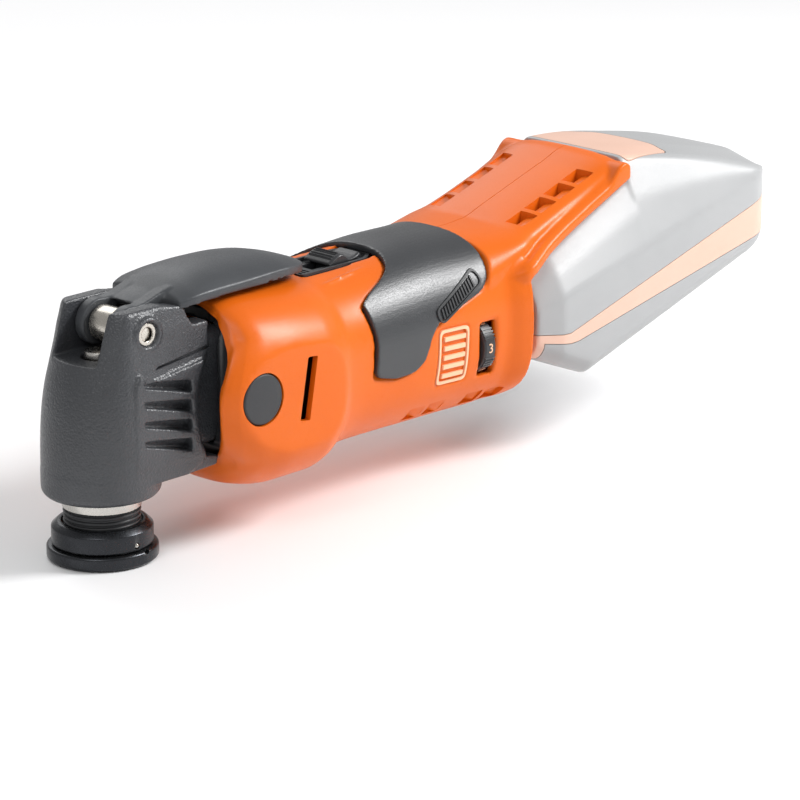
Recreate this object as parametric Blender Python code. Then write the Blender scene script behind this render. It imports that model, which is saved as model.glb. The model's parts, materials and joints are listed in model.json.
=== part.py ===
"""Cordless oscillating multi tool with a quick-clamp lever, a slide switch and an 18 V battery pack.

World frame: metres, +Z up along the output spindle, +X to the rear (battery end), -Y the tool's left side.
The mount flange's lower face is at z = 0, and x = 0 is half way along the tool.
Shapes are written in millimetres with x counted from the spindle axis, and world() turns them into metres.
"""
import math

import bmesh
import bpy

MM = 0.001

# ---- Driving dimensions, in millimetres; x is counted from the spindle axis ----
OVERALL_FRONT = -19.3  # front of the gear head barrel
OVERALL_REAR = 300.0  # rear end of the battery pack
ORIGIN_X = (OVERALL_FRONT + OVERALL_REAR) / 2

GAP = 0.3  # between pieces that touch
SEAM = 0.15  # half the gap between the two housing halves
WALL = 2.0  # housing wall

FLANGE_RADIUS, FLANGE_TOP = 18.0, 4.8
RING_RADIUS, RING_TOP = 16.4, 12.6
NECK_RADIUS, NECK_BOTTOM, NECK_TOP = 12.6, 11.0, 17.1
COLLAR_RADIUS, COLLAR_TOP = 12.8, 21.2
SPINDLE_TOP, PLUNGER_HEAD = 58.6, 64.4

BARREL_RADIUS, HEAD_BOTTOM, HEAD_TOP = 19.3, 21.6, 83.0
BLOCK_BOTTOM, BLOCK_TOP, BLOCK_REAR = 27.0, 75.0, 28.0
SPIGOT_HALF, SPIGOT_BOTTOM, SPIGOT_TOP, SPIGOT_REAR = 17.5, 33.0, 72.0, 40.0
FORK_HALF, FORK_FLOOR = 10.0, 66.5

PIN_X, PIN_Z, PIN_RADIUS, PIN_HALF = 6.0, 75.5, 2.7, 15.4
BUSH_RADIUS, BUSH_HALF = 5.8, 5.0
LEVER_ARM_HALF, LEVER_ARM_RADIUS, LEVER_THICK = 9.5, 7.6, 3.0

MOTOR_Z = 47.0
SHAFT_RADIUS = 3.0
CAM_RADIUS, CAM_OFFSET = 4.6, 0.6  # the eccentric that rocks the spindle's fork
STATOR_FRONT, STATOR_REAR, STATOR_RADIUS, STATOR_BORE = 62.0, 108.0, 23.0, 13.0

PLUG_X, PLUG_Z, PLUG_RADIUS = 40.5, 50.0, 8.4
DIAL_X, DIAL_Y, DIAL_Z, DIAL_RADIUS, DIAL_WIDE = 148.0, -22.0, 44.0, 11.0, 5.4
SWITCH_FRONT, SWITCH_REAR, SWITCH_HALF = 82.0, 118.0, 8.5

RAIL_SLOPE = 0.42  # rise of the battery rail to the rear, per unit of x
HUMP_FRONT, HUMP_FLOOR, HUMP_REAR = 168.0, 65.9, 222.0
PACK_FRONT, PACK_HALF = 169.6, 37.0

# Outer stations of the housing along x: (x, lowest z, highest z, half width, squareness of the section)
STATIONS = (
    (34.0, 26.0, 80.0, 26.0, 2.8),
    (37.0, 20.5, 81.0, 30.0, 2.8),
    (43.0, 16.0, 81.5, 33.0, 2.9),
    (55.0, 13.6, 81.0, 34.0, 3.0),
    (70.0, 13.6, 79.5, 34.0, 3.0),
    (78.0, 15.5, 78.5, 33.0, 3.0),
    (84.0, 18.5, 78.0, 31.8, 2.6),
    (92.0, 18.5, 78.0, 30.8, 2.5),
    (110.0, 18.3, 79.0, 30.3, 2.5),
    (130.0, 18.0, 80.0, 30.3, 2.5),
    (150.0, 18.0, 79.5, 31.2, 2.7),
    (165.0, 20.0, 79.5, 32.0, 3.0),
)
HUMP_STATIONS = (
    (168.0, 65.9, 80.2, 31.0, 2.5),
    (176.0, 69.3, 82.7, 29.2, 2.2),
    (192.0, 76.0, 87.9, 28.0, 2.1),
    (208.0, 82.7, 93.0, 27.6, 2.1),
    (220.0, 87.7, 96.8, 27.2, 2.3),
    (222.0, 89.2, 96.4, 26.2, 2.3),
)
FRONT_BULGE, BULGE_Z, BULGE_REACH = 12.0, 50.0, 22.0  # the front edge reaches forward at mid height
HALF_POINTS = 12  # along half a section, from the bottom seam to the top seam


def world(point):
    x, y, z = point
    return ((x - ORIGIN_X) * MM, y * MM, z * MM)


# ---- Materials ----
def material(name, colour, roughness, metallic=0.0):
    made = bpy.data.materials.get(name)
    if made is None:
        made = bpy.data.materials.new(name)
        made.use_nodes = True
        shader = made.node_tree.nodes["Principled BSDF"]
        shader.inputs["Base Color"].default_value = (*colour, 1)
        shader.inputs["Roughness"].default_value = roughness
        shader.inputs["Metallic"].default_value = metallic
    return made


def cast_grey():
    return material("cast_grey", (0.075, 0.08, 0.085), 0.5, 0.3)


def orange_plastic():
    return material("orange_plastic", (0.82, 0.17, 0.015), 0.45)


def grip_rubber():
    return material("grip_rubber", (0.06, 0.062, 0.068), 0.7)


def black_plastic():
    return material("black_plastic", (0.02, 0.02, 0.022), 0.5)


def bright_steel():
    return material("bright_steel", (0.7, 0.68, 0.65), 0.25, 1.0)


def black_oxide():
    return material("black_oxide", (0.05, 0.052, 0.056), 0.3, 0.9)


def pale_plastic():
    return material("pale_plastic", (0.7, 0.7, 0.72), 0.45)


def peach_plastic():
    return material("peach_plastic", (0.95, 0.75, 0.6), 0.45)


def board_green():
    return material("board_green", (0.03, 0.16, 0.07), 0.5)


# ---- Mesh tools ----
def mesh_object(name, points, faces, made_of):
    mesh = bpy.data.meshes.new(name)
    mesh.from_pydata([world(p) for p in points], [], faces)
    bm = bmesh.new()
    bm.from_mesh(mesh)
    bmesh.ops.remove_doubles(bm, verts=bm.verts, dist=1e-6)
    bmesh.ops.recalc_face_normals(bm, faces=bm.faces)
    if bm.calc_volume(signed=True) < 0:
        bmesh.ops.reverse_faces(bm, faces=bm.faces)
    bm.to_mesh(mesh)
    bm.free()
    mesh.materials.append(made_of)
    obj = bpy.data.objects.new(name, mesh)
    bpy.context.scene.collection.objects.link(obj)
    return obj


def loft(name, rings, made_of):
    """A closed solid through rings of equally many points, with flat ends."""
    count = len(rings[0])
    points = [p for ring in rings for p in ring]
    faces = [tuple(range(count)), tuple(range(len(points) - count, len(points)))]
    for r in range(len(rings) - 1):
        for i in range(count):
            j = (i + 1) % count
            a, b = r * count, (r + 1) * count
            faces.append((a + i, a + j, b + j, b + i))
    return mesh_object(name, points, faces, made_of)


def prism(name, outline, axis, low, high, made_of):
    """An outline in the plane across the axis, extruded from low to high along it."""
    place = {"x": lambda a, b, h: (h, a, b), "y": lambda a, b, h: (a, h, b), "z": lambda a, b, h: (a, b, h)}
    return loft(name, [[place[axis](a, b, h) for a, b in outline] for h in (low, high)], made_of)


def box(name, low, high, made_of):
    corners = ((low[0], low[1]), (high[0], low[1]), (high[0], high[1]), (low[0], high[1]))
    return prism(name, corners, "z", low[2], high[2], made_of)


def turned(name, profile, axis, centre, made_of, steps=28):
    """A profile of (radius, height along the axis) spun about an axis through centre."""
    rings = []
    across = {"x": (centre[1], centre[2]), "y": (centre[0], centre[2]), "z": (centre[0], centre[1])}[axis]
    for k in range(steps):
        turn = 2 * math.pi * (k + 0.37) / steps  # no corner falls on a plane of symmetry
        ring = []
        for radius, height in profile:
            u = across[0] + radius * math.cos(turn)
            v = across[1] + radius * math.sin(turn)
            ring.append({"x": (height, u, v), "y": (u, height, v), "z": (u, v, height)}[axis])
        rings.append(ring)
    count = len(profile)
    on_axis = profile[0][0] == 0 and profile[-1][0] == 0
    points = [p for ring in rings for p in ring]
    faces = []
    for k in range(steps):
        a, b = k * count, ((k + 1) % steps) * count
        for i in range(count - 1 if on_axis else count):
            j = (i + 1) % count
            face = [a + i, a + j, b + j, b + i]
            if profile[i][0] == 0:
                face.remove(b + i)
            if profile[j][0] == 0:
                face.remove(b + j)
            if len(face) > 2:
                faces.append(tuple(face))
    return mesh_object(name, points, faces, made_of)


def rod(name, radius, low, high, axis, centre, made_of, steps=24):
    return turned(name, ((0, low), (radius, low), (radius, high), (0, high)), axis, centre, made_of, steps)


def tube(name, outer, inner, low, high, axis, centre, made_of, steps=28):
    profile = ((inner, low), (outer, low), (outer, high), (inner, high))
    return turned(name, profile, axis, centre, made_of, steps)


def helper(obj):
    obj.hide_render = True
    obj.display_type = "WIRE"
    return obj


# These come out of the exact solver with open edges, so their Booleans use the manifold one.
MANY_CUTS = ("housing_left", "housing_right", "gear_head", "clamp_lever", "grip_left", "grip_right")


def boolean(target, other, operation):
    modifier = target.modifiers.new(other.name, "BOOLEAN")
    modifier.operation = operation
    modifier.solver = "MANIFOLD" if target.name in MANY_CUTS else "EXACT"
    modifier.object = helper(other)


def cut(target, *others):
    for other in others:
        boolean(target, other, "DIFFERENCE")


def join(target, *others):
    for other in others:
        boolean(target, other, "UNION")


def smooth(obj):
    obj.data.shade_smooth()
    obj.data.set_sharp_from_angle(angle=math.radians(35))
    return obj


# ---- Spindle stack under the head ----
def star_outline(outer, inner, points):
    """The drive socket: a star with blunt tips, as a closed list of (x, y)."""
    outline = []
    for k in range(4 * points):
        radius = outer if k % 4 < 2 else inner
        turn = 2 * math.pi * (k + 0.5) / (4 * points)
        outline.append((radius * math.cos(turn), radius * math.sin(turn)))
    return outline


def mount_flange():
    profile = (
        (0, 0), (17.2, 0), (FLANGE_RADIUS, 0.8), (FLANGE_RADIUS, 3.9), (17.2, FLANGE_TOP), (0, FLANGE_TOP),
    )
    flange = turned("mount_flange", profile, "z", (0, 0, 0), black_oxide(), 28)
    socket = prism("socket_cutter", star_outline(11.0, 9.2, 12), "z", -1, FLANGE_TOP + 1, black_oxide())
    cut(flange, socket)
    return smooth(flange)


def mount_ring():
    profile = (
        (7.0, FLANGE_TOP + GAP), (RING_RADIUS, FLANGE_TOP + GAP), (RING_RADIUS, 10.9), (14.6, RING_TOP),
        (NECK_RADIUS + 0.5, RING_TOP), (NECK_RADIUS + 0.5, NECK_BOTTOM - 0.4), (7.0, NECK_BOTTOM - 0.4),
    )
    ring = turned("mount_ring", profile, "z", (0, 0, 0), black_oxide(), 28)
    cut(ring, rod("index_pin_bore", 1.1, -18.0, -13.5, "y", (0, 0, 7.0), black_oxide(), 12))
    return smooth(ring)


def index_pin():
    rod("index_pin", 0.8, -16.8, -13.9, "y", (0, 0, 7.0), bright_steel(), 12)


def neck_seal():
    ribs = []
    for z in (12.4, 14.2, 16.0):
        ribs += [(NECK_RADIUS - 0.7, z - 0.45), (NECK_RADIUS, z), (NECK_RADIUS - 0.7, z + 0.45)]
    valley = NECK_RADIUS - 0.7
    profile = ((7.0, NECK_BOTTOM), (valley, NECK_BOTTOM), *ribs, (valley, NECK_TOP), (7.0, NECK_TOP))
    smooth(turned("neck_seal", profile, "z", (0, 0, 0), grip_rubber(), 20))


def spindle_collar():
    low = NECK_TOP + GAP
    smooth(tube("spindle_collar", COLLAR_RADIUS, 7.0, low, COLLAR_TOP, "z", (0, 0, 0), bright_steel(), 36))


def output_spindle():
    profile = (
        (2.7, FLANGE_TOP + GAP), (6.6, FLANGE_TOP + GAP), (6.6, 23.4), (5.0, 23.4), (5.0, SPINDLE_TOP),
        (2.7, SPINDLE_TOP),
    )
    smooth(turned("output_spindle", profile, "z", (0, 0, 0), bright_steel(), 24))


def rocker_arm():
    """The fork on the spindle that the eccentric swings from side to side."""
    hub = tube("rocker_arm", 9.5, 5.3, 41.0, 51.6, "z", (0, 0, 0), bright_steel(), 24)
    for side in (-1, 1):
        near, far = sorted((side * 6.4, side * 9.4))
        join(hub, box(f"rocker_finger_{side + 1}", (3.0, near, 42.0), (21.5, far, 51.2), bright_steel()))
    smooth(hub)


def clamp_plunger():
    profile = (
        (0, 1.6), (5.2, 1.6), (5.6, 2.4), (5.6, 3.9), (2.3, 4.6), (2.3, PLUNGER_HEAD), (4.6, PLUNGER_HEAD),
        (4.6, 68.6), (0, 69.0),
    )
    smooth(turned("clamp_plunger", profile, "z", (0, 0, 0), bright_steel(), 20))


def clamp_spring():
    """A compression coil under the plunger's head."""
    turns, sides, steps, wire, radius = 3, 5, 12, 0.5, 3.6
    low, high = SPINDLE_TOP + 0.8, PLUNGER_HEAD - 0.8
    rings = []
    for k in range(int(turns * steps) + 1):
        turn = 2 * math.pi * k / steps
        height = low + (high - low) * k / (turns * steps)
        ring = []
        for s in range(sides):
            angle = 2 * math.pi * s / sides
            reach = radius + wire * math.cos(angle)
            ring.append((reach * math.cos(turn), reach * math.sin(turn), height + wire * math.sin(angle)))
        rings.append(ring)
    loft("clamp_spring", rings, bright_steel())


def bearing(name, outer, inner, low, high, axis, centre):
    """A sealed ball bearing as one ring, its shield set back between the two races."""
    race = 0.3 * (outer - inner)
    shield_out, shield_in, back = outer - race, inner + race, 0.6
    profile = (
        (inner, low), (shield_in, low), (shield_in, low + back), (shield_out, low + back), (shield_out, low),
        (outer, low), (outer, high), (shield_out, high), (shield_out, high - back), (shield_in, high - back),
        (shield_in, high), (inner, high),
    )
    smooth(turned(name, profile, axis, centre, bright_steel(), 14))


# ---- Gear head casting ----
def head_ring(z, front, half, rear):
    """One level of the casting: an elliptical nose and straight sides back to the rear."""
    ring = [(rear, -half, z)]
    for k in range(13):
        turn = math.pi * (0.5 + k / 12)
        ring.append((front * math.cos(turn), -half * math.sin(turn), z))
    ring.append((rear, half, z))
    return ring


def gear_head():
    levels = (
        (BLOCK_BOTTOM, 19.2, 19.3, BLOCK_REAR), (40.0, 18.8, 19.3, 26.0), (52.0, 17.4, 19.2, 25.0),
        (60.0, 15.2, 18.6, 26.5), (66.5, 12.6, 17.7, 29.5), (BLOCK_TOP, 9.2, 16.8, 31.5),
        (BLOCK_TOP + 0.6, 9.0, 16.7, 24.6), (79.6, 7.4, 16.2, 22.4), (82.2, 6.2, 15.6, 15.0),
        (HEAD_TOP, 5.4, 14.6, 12.0),
    )
    head = loft("gear_head", [head_ring(*level) for level in levels], cast_grey())
    barrel = ((0, HEAD_BOTTOM), (18.0, HEAD_BOTTOM), (BARREL_RADIUS, 23.6), (BARREL_RADIUS, 29.0), (0, 40.0))
    join(head, turned("head_barrel", barrel, "z", (0, 0, 0), cast_grey(), 28))
    spigot_outline = rounded_outline(SPIGOT_HALF, SPIGOT_BOTTOM, SPIGOT_TOP, 6.0)
    join(head, prism("head_spigot", spigot_outline, "x", 20.0, SPIGOT_REAR, cast_grey()))
    cut(head, box("fork_cutter", (-30, -FORK_HALF, FORK_FLOOR), (60, FORK_HALF, 90), cast_grey()))
    cut(head, rod("pin_bore", PIN_RADIUS + GAP, -30, 30, "y", (PIN_X, 0, PIN_Z), cast_grey(), 20))
    for side in (-1, 1):
        low, high = sorted((side * 15.4, side * 30.0))
        pocket = rod(f"pin_counterbore_{side + 1}", 4.0, low, high, "y", (PIN_X, 0, PIN_Z), cast_grey(), 20)
        cut(head, pocket)
    cut(head, rod("bearing_seat_low", 13.3, 15.0, 31.4, "z", (0, 0, 0), cast_grey(), 28))
    cut(head, rod("bearing_seat_high", 9.5, 50.0, 58.9, "z", (0, 0, 0), cast_grey(), 24))
    cut(head, rod("plunger_bore", 5.6, 57.0, 70.0, "z", (0, 0, 0), cast_grey(), 20))
    cut(head, box("rocker_chamber", (-11.5, -13.0, 31.0), (24.0, 13.0, 53.0), cast_grey()))
    cut(head, rod("motor_bore", 12.0, 22.0, 45.0, "x", (0, 0, MOTOR_Z), cast_grey(), 24))
    louvres(head)
    return smooth(head)


def louvres(head):
    """Four wedge-shaped cooling louvres and a long groove above them on each side of the casting."""
    for side in (-1, 1):
        for level, z in enumerate((38.6, 44.9, 51.2, 57.5)):
            outline = ((2.0, z - 1.6), (22.0, z - 2.0), (22.0, z + 2.2), (2.0, z + 2.2))
            low, high = sorted((side * 18.2, side * 25.0))
            cut(head, prism(f"louvre_{side + 1}_{level}", outline, "y", low, high, cast_grey()))
        low, high = sorted((side * 17.0, side * 25.0))
        groove = ((7.0, 65.6), (28.5, 67.4), (28.5, 69.0))
        cut(head, prism(f"head_groove_{side + 1}", groove, "y", low, high, cast_grey()))


def rounded_outline(half, low, high, radius, corner_steps=4):
    """A rectangle from -half to half and low to high with rounded corners, as a closed list of points."""
    outline = []
    for u, v, start in ((1, 1, 0), (-1, 1, 1), (-1, -1, 2), (1, -1, 3)):
        centre_u = u * (half - radius)
        centre_v = (high - radius) if v > 0 else (low + radius)
        for k in range(corner_steps + 1):
            turn = (start + k / corner_steps) * math.pi / 2
            outline.append((centre_u + radius * math.cos(turn), centre_v + radius * math.sin(turn)))
    return outline


def head_damper():
    """The rubber frame that joins the head to the housing and keeps its vibration out of the hand."""
    right = [(y, z) for _, y, z in half_section(STATIONS[0], 1, WALL + 0.5)]
    left = [(-y, z) for y, z in reversed(right)]
    damper = prism("head_damper", right + left, "x", 28.6, 36.4, grip_rubber())
    hole = rounded_outline(SPIGOT_HALF + GAP, SPIGOT_BOTTOM - GAP, SPIGOT_TOP + GAP, 6.0)
    cut(damper, prism("damper_hole", hole, "x", 20, 50, grip_rubber()))
    cut(damper, box("damper_relief", (20.0, -18.8, 58.0), (32.2, 18.8, 90), grip_rubber()))
    smooth(damper)


# ---- Quick-clamp lever ----
def lever_section(x, half, top, drop):
    """An arched strip across the tool: points along its top, then back along its underside."""
    across = [half * (k / 3 - 1) for k in range(7)]
    upper = [(x, y, top - drop * (y / half) ** 2) for y in across]
    lower = [(x, y, z - LEVER_THICK) for _, y, z in reversed(upper)]
    return upper + lower


def clamp_lever():
    stations = (
        (10.5, 9.5, 82.8, 0.3), (16.0, 9.5, 85.2, 0.6), (22.0, 9.5, 87.0, 1.0), (23.0, 16.8, 87.4, 3.0),
        (27.0, 17.8, 88.5, 3.8), (40.0, 18.0, 89.8, 5.0), (55.0, 17.8, 89.6, 4.2), (68.0, 16.6, 87.8, 2.6),
        (76.0, 14.0, 85.6, 1.6), (80.5, 10.0, 83.9, 0.8), (82.5, 5.0, 83.0, 0.2),
    )
    lever = loft("clamp_lever", [lever_section(*station) for station in stations], cast_grey())
    for side in (-1, 1):
        low, high = sorted((side * (BUSH_HALF + 0.4), side * LEVER_ARM_HALF))
        eye = rod(f"lever_eye_{side + 1}", LEVER_ARM_RADIUS, low, high, "y", (PIN_X, 0, PIN_Z), cast_grey())
        foot = ((PIN_X - 1.0, PIN_Z + 6.5), (PIN_X + 5.0, PIN_Z - 5.0))
        web = (*foot, (22.0, 83.0), (22.0, 86.0), (11.0, 82.4))
        join(lever, eye, prism(f"lever_web_{side + 1}", web, "y", low, high, cast_grey()))
    cut(lever, rod("lever_bore", PIN_RADIUS + GAP, -12, 12, "y", (PIN_X, 0, PIN_Z), cast_grey(), 20))
    return smooth(lever)


def hinge_hardware():
    hinge = (PIN_X, 0, PIN_Z)
    smooth(rod("hinge_pin", PIN_RADIUS, -PIN_HALF, PIN_HALF, "y", hinge, bright_steel(), 24))
    bore = PIN_RADIUS + GAP
    smooth(tube("hinge_bush", BUSH_RADIUS, bore, -BUSH_HALF, BUSH_HALF, "y", hinge, bright_steel()))
    for side, name in ((-1, "snap_ring_left"), (1, "snap_ring_right")):
        low, high = sorted((side * 15.8, side * 16.4))
        smooth(tube(name, 3.5, 2.2, low, high, "y", hinge, bright_steel(), 20))


# ---- Housing ----
def half_section(station, side, inset, x_shift=0.0):
    """Half a rounded section, from the bottom seam round the side to the top seam."""
    x, low, high, half, squareness = station
    low, high, half = low + inset, high - inset, half - inset
    middle, height = (low + high) / 2, (high - low) / 2
    points = []
    for k in range(HALF_POINTS + 1):
        turn = math.pi * (k / HALF_POINTS - 0.5)
        y = max(half * abs(math.cos(turn)) ** (2 / squareness), SEAM)
        z = middle + height * math.copysign(abs(math.sin(turn)) ** (2 / squareness), math.sin(turn))
        points.append((x + x_shift - front_bulge(x, z), side * y, z))
    return points


def front_bulge(x, z):
    """How far the housing's front edge reaches forward at this height; it fades out 12 mm behind the edge."""
    fade = min(max((46.0 - x) / 12.0, 0.0), 1.0)
    reach = max(1 - ((z - BULGE_Z) / BULGE_REACH) ** 2, 0.0)
    return FRONT_BULGE * fade * reach


def housing_half(name, side):
    """One clamshell half: outer skin, inner skin, and the strips along the seam and the front edge."""
    outer = [half_section(station, side, 0.0) for station in STATIONS + HUMP_STATIONS]
    inner = [half_section(station, side, WALL) for station in STATIONS[:-1]]
    inner.append(half_section(STATIONS[-1], side, WALL, -WALL))
    points, faces = [], []
    for rings in (outer, inner):
        points += [p for ring in rings for p in ring]
    count, offset = HALF_POINTS + 1, len(outer) * (HALF_POINTS + 1)
    for base, rings in ((0, outer), (offset, inner)):
        for r in range(len(rings) - 1):
            for i in range(HALF_POINTS):
                a, b = base + r * count, base + (r + 1) * count
                faces.append((a + i, a + i + 1, b + i + 1, b + i))
    for i in range(HALF_POINTS):
        faces.append((i, i + 1, offset + i + 1, offset + i))
    last_inner = offset + (len(inner) - 1) * count
    faces.append(tuple(range(last_inner, last_inner + count)))
    last_outer = (len(outer) - 1) * count
    faces.append(tuple(range(last_outer, last_outer + count)))
    bottom_outer = [r * count for r in range(len(outer))]
    bottom_inner = [offset + r * count for r in range(len(inner))]
    top_outer = [r + HALF_POINTS for r in bottom_outer]
    top_inner = [r + HALF_POINTS for r in bottom_inner]
    for r in range(len(inner) - 1):
        faces.append((bottom_outer[r], bottom_outer[r + 1], bottom_inner[r + 1], bottom_inner[r]))
        faces.append((top_outer[r], top_outer[r + 1], top_inner[r + 1], top_inner[r]))
    rear = len(inner) - 1
    faces.append((bottom_inner[rear], *bottom_outer[rear:], *reversed(top_outer[rear:]), top_inner[rear]))
    return mesh_object(name, points, faces, orange_plastic())


SCREWS = ((45.5, 73.0), (45.5, 22.0), (126.0, 72.0), (114.5, 27.5), (157.0, 69.0), (157.0, 28.5))  # (x, z)
SCREW_SEAT, BOSS_RADIUS = 14.0, 3.6


def housing():
    for name, side in (("housing_left", -1), ("housing_right", 1)):
        shell = housing_half(name, side)
        screw_bosses(shell, side)
        side_openings(shell, side)
        if side < 0:
            dial_window(shell)
        smooth(shell)


def side_rod(name, radius, near, far, side, x, z, steps):
    """A cutter or boss across the tool on one side, from near to far off the seam."""
    low, high = sorted((side * near, side * far))
    return rod(name, radius, low, high, "y", (x, 0, z), orange_plastic(), steps)


def side_box(name, side, x_span, y_span, z_span):
    low, high = sorted((side * y_span[0], side * y_span[1]))
    return box(name, (x_span[0], low, z_span[0]), (x_span[1], high, z_span[1]), orange_plastic())


def screw_bosses(shell, side):
    """The six posts inside each half, joined first and then drilled: heads go in from the right."""
    for k, (x, z) in enumerate(SCREWS):
        join(shell, side_rod(f"boss_{side}_{k}", BOSS_RADIUS, SEAM + 0.1, boss_end(x, z), side, x, z, 12))
    for k, (x, z) in enumerate(SCREWS):
        cut(shell, side_rod(f"screw_hole_{side}_{k}", 1.9, 0, 40 if side > 0 else 10, side, x, z, 12))
        if side > 0:
            cut(shell, side_rod(f"screw_head_hole_{k}", 3.5, SCREW_SEAT, 40, side, x, z, 14))


def side_openings(shell, side):
    """The plug's hole, the slot behind it, half the switch's opening, and four vents in the bottom."""
    cut(shell, side_rod(f"plug_hole_{side}", PLUG_RADIUS + GAP, 20.0, 40.0, side, PLUG_X, PLUG_Z, 28))
    cut(shell, side_box(f"side_slot_{side}", side, (59.5, 62.5), (20.0, 40.0), (40.0, 60.0)))
    switch_span = (SWITCH_FRONT - GAP, SWITCH_REAR + GAP)
    switch_reach = (-0.1, SWITCH_HALF + GAP + 0.1)
    cut(shell, side_box(f"switch_opening_{side}", side, switch_span, switch_reach, (70.0, 90.0)))
    for k in range(4):
        x = 116.0 + 13.0 * k
        cut(shell, side_box(f"bottom_vent_{side}_{k}", side, (x, x + 8.0), (12.0, 22.0), (12.0, 29.0)))


def dial_window(shell):
    half, reach = DIAL_WIDE / 2 + 0.5, 9.5
    x_span, z_span = (DIAL_X - half, DIAL_X + half), (DIAL_Z - reach, DIAL_Z + reach)
    cut(shell, side_box("dial_window", -1, x_span, (25.0, 40.0), z_span))


def housing_screws():
    for k, (x, z) in enumerate(SCREWS):
        seat = SCREW_SEAT + GAP
        profile = ((0, -8.0), (1.5, -7.0), (1.5, seat), (3.1, seat), (3.1, seat + 2.4), (0, seat + 2.4))
        turned(f"housing_screw_{k + 1}", profile, "y", (x, 0, z), bright_steel(), 12)


def boss_end(x, z):
    """Where a screw boss ends inside the wall, so that its outer rim stays under the skin."""
    _, low, high, half, squareness = station_at(x)
    middle, height = (low + high) / 2, (high - low) / 2
    farthest = abs(z - middle) + BOSS_RADIUS
    return half * (1 - (farthest / height) ** squareness) ** (1 / squareness) - 0.4


SOFT_GRIP = (  # x along the tool, and the height of the grip's lower edge there
    (92.0, 46.0), (98.0, 44.0), (104.0, 42.8), (110.0, 43.8), (116.0, 46.0), (120.0, 53.0), (124.0, 58.0),
    (132.0, 60.6), (147.0, 65.0), (150.0, 72.0),
)


def station_at(x):
    """The housing's section at any x, by straight interpolation between the stations."""
    for before, after in zip(STATIONS, STATIONS[1:]):
        if before[0] <= x <= after[0]:
            share = (x - before[0]) / (after[0] - before[0])
            return tuple(a + (b - a) * share for a, b in zip(before, after))
    raise ValueError(f"no station at {x}")


def grip_point(x, lower, share, side, proud):
    """A point on the skin raised by proud, from the grip's lower edge (share 0) to the top seam (share 1)."""
    _, low, high, half, squareness = station_at(x)
    middle, height = (low + high) / 2, (high - low) / 2
    rise = (lower - middle) / height
    start = math.asin(math.copysign(abs(rise) ** (squareness / 2), rise))
    turn = start + (math.pi / 2 - start) * share
    y = (half + proud) * abs(math.cos(turn)) ** (2 / squareness)
    z = middle + (height + proud) * math.copysign(abs(math.sin(turn)) ** (2 / squareness), math.sin(turn))
    return (x, side * max(y, SEAM), z)


def soft_grip():
    for name, side in (("grip_left", -1), ("grip_right", 1)):
        rings = []
        for x, lower in SOFT_GRIP:
            outside = [grip_point(x, lower, k / 9, side, 1.5) for k in range(10)]
            inside = [grip_point(x, lower, k / 9, side, 0.45) for k in range(10)]
            rings.append(outside + inside[::-1])
        grip = loft(name, rings, grip_rubber())
        switch_gap = side_box(
            f"grip_switch_gap_{side}", side, (85.0, SWITCH_REAR + 1.5), (-0.1, SWITCH_HALF + 1.3), (72, 95)
        )
        cut(grip, switch_gap)
        smooth(grip)


def side_plugs():
    for name, side in (("plug_left", -1), ("plug_right", 1)):
        low, high = sorted((side * 30.6, side * 33.9))
        smooth(rod(name, PLUG_RADIUS, low, high, "y", (PLUG_X, 0, PLUG_Z), black_plastic(), 32))


def badge_plate():
    outline = [(u + 131.0, v) for u, v in rounded_outline(7.8, 36.8, 53.2, 1.2, 2)]
    prism("badge_plate", outline, "y", -31.7, -30.9, grip_rubber())


def switch_parts():
    low, high = (SWITCH_FRONT, -SWITCH_HALF, 73.6), (SWITCH_REAR, SWITCH_HALF, 77.4)
    base = box("switch_base", low, high, black_plastic())
    cut(base, box("switch_travel_slot", (92.0, -3.2, 70.0), (110.0, 3.2, 80.0), black_plastic()))
    slider = box("switch_slider", (97.0, -6.5, 77.8), (113.0, 6.5, 80.2), black_plastic())
    thumb = ((99.0, 79.5), (111.0, 79.5), (109.5, 82.6), (106.0, 83.2), (102.0, 82.4))
    join(slider, prism("switch_thumb_ridge", thumb, "y", -6.0, 6.0, black_plastic()))
    join(slider, box("switch_stem", (99.5, -2.8, 71.0), (108.5, 2.8, 78.5), black_plastic()))


def speed_dial():
    """The ribbed wheel whose rim shows in the window on the left side."""
    outline = []
    for k in range(48):
        turn = 2 * math.pi * k / 48
        radius = DIAL_RADIUS if k % 2 else DIAL_RADIUS - 0.6
        outline.append((DIAL_Y + radius * math.cos(turn), DIAL_Z + radius * math.sin(turn)))
    low, high = DIAL_X - DIAL_WIDE / 2, DIAL_X + DIAL_WIDE / 2
    wheel = prism("speed_dial", outline, "x", low, high, black_plastic())
    cut(wheel, rod("dial_bore", 1.9, 140, 160, "x", (0, DIAL_Y, DIAL_Z), black_plastic(), 16))
    smooth(rod("dial_axle", 1.5, 143.0, 153.0, "x", (0, DIAL_Y, DIAL_Z), bright_steel(), 12))


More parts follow.
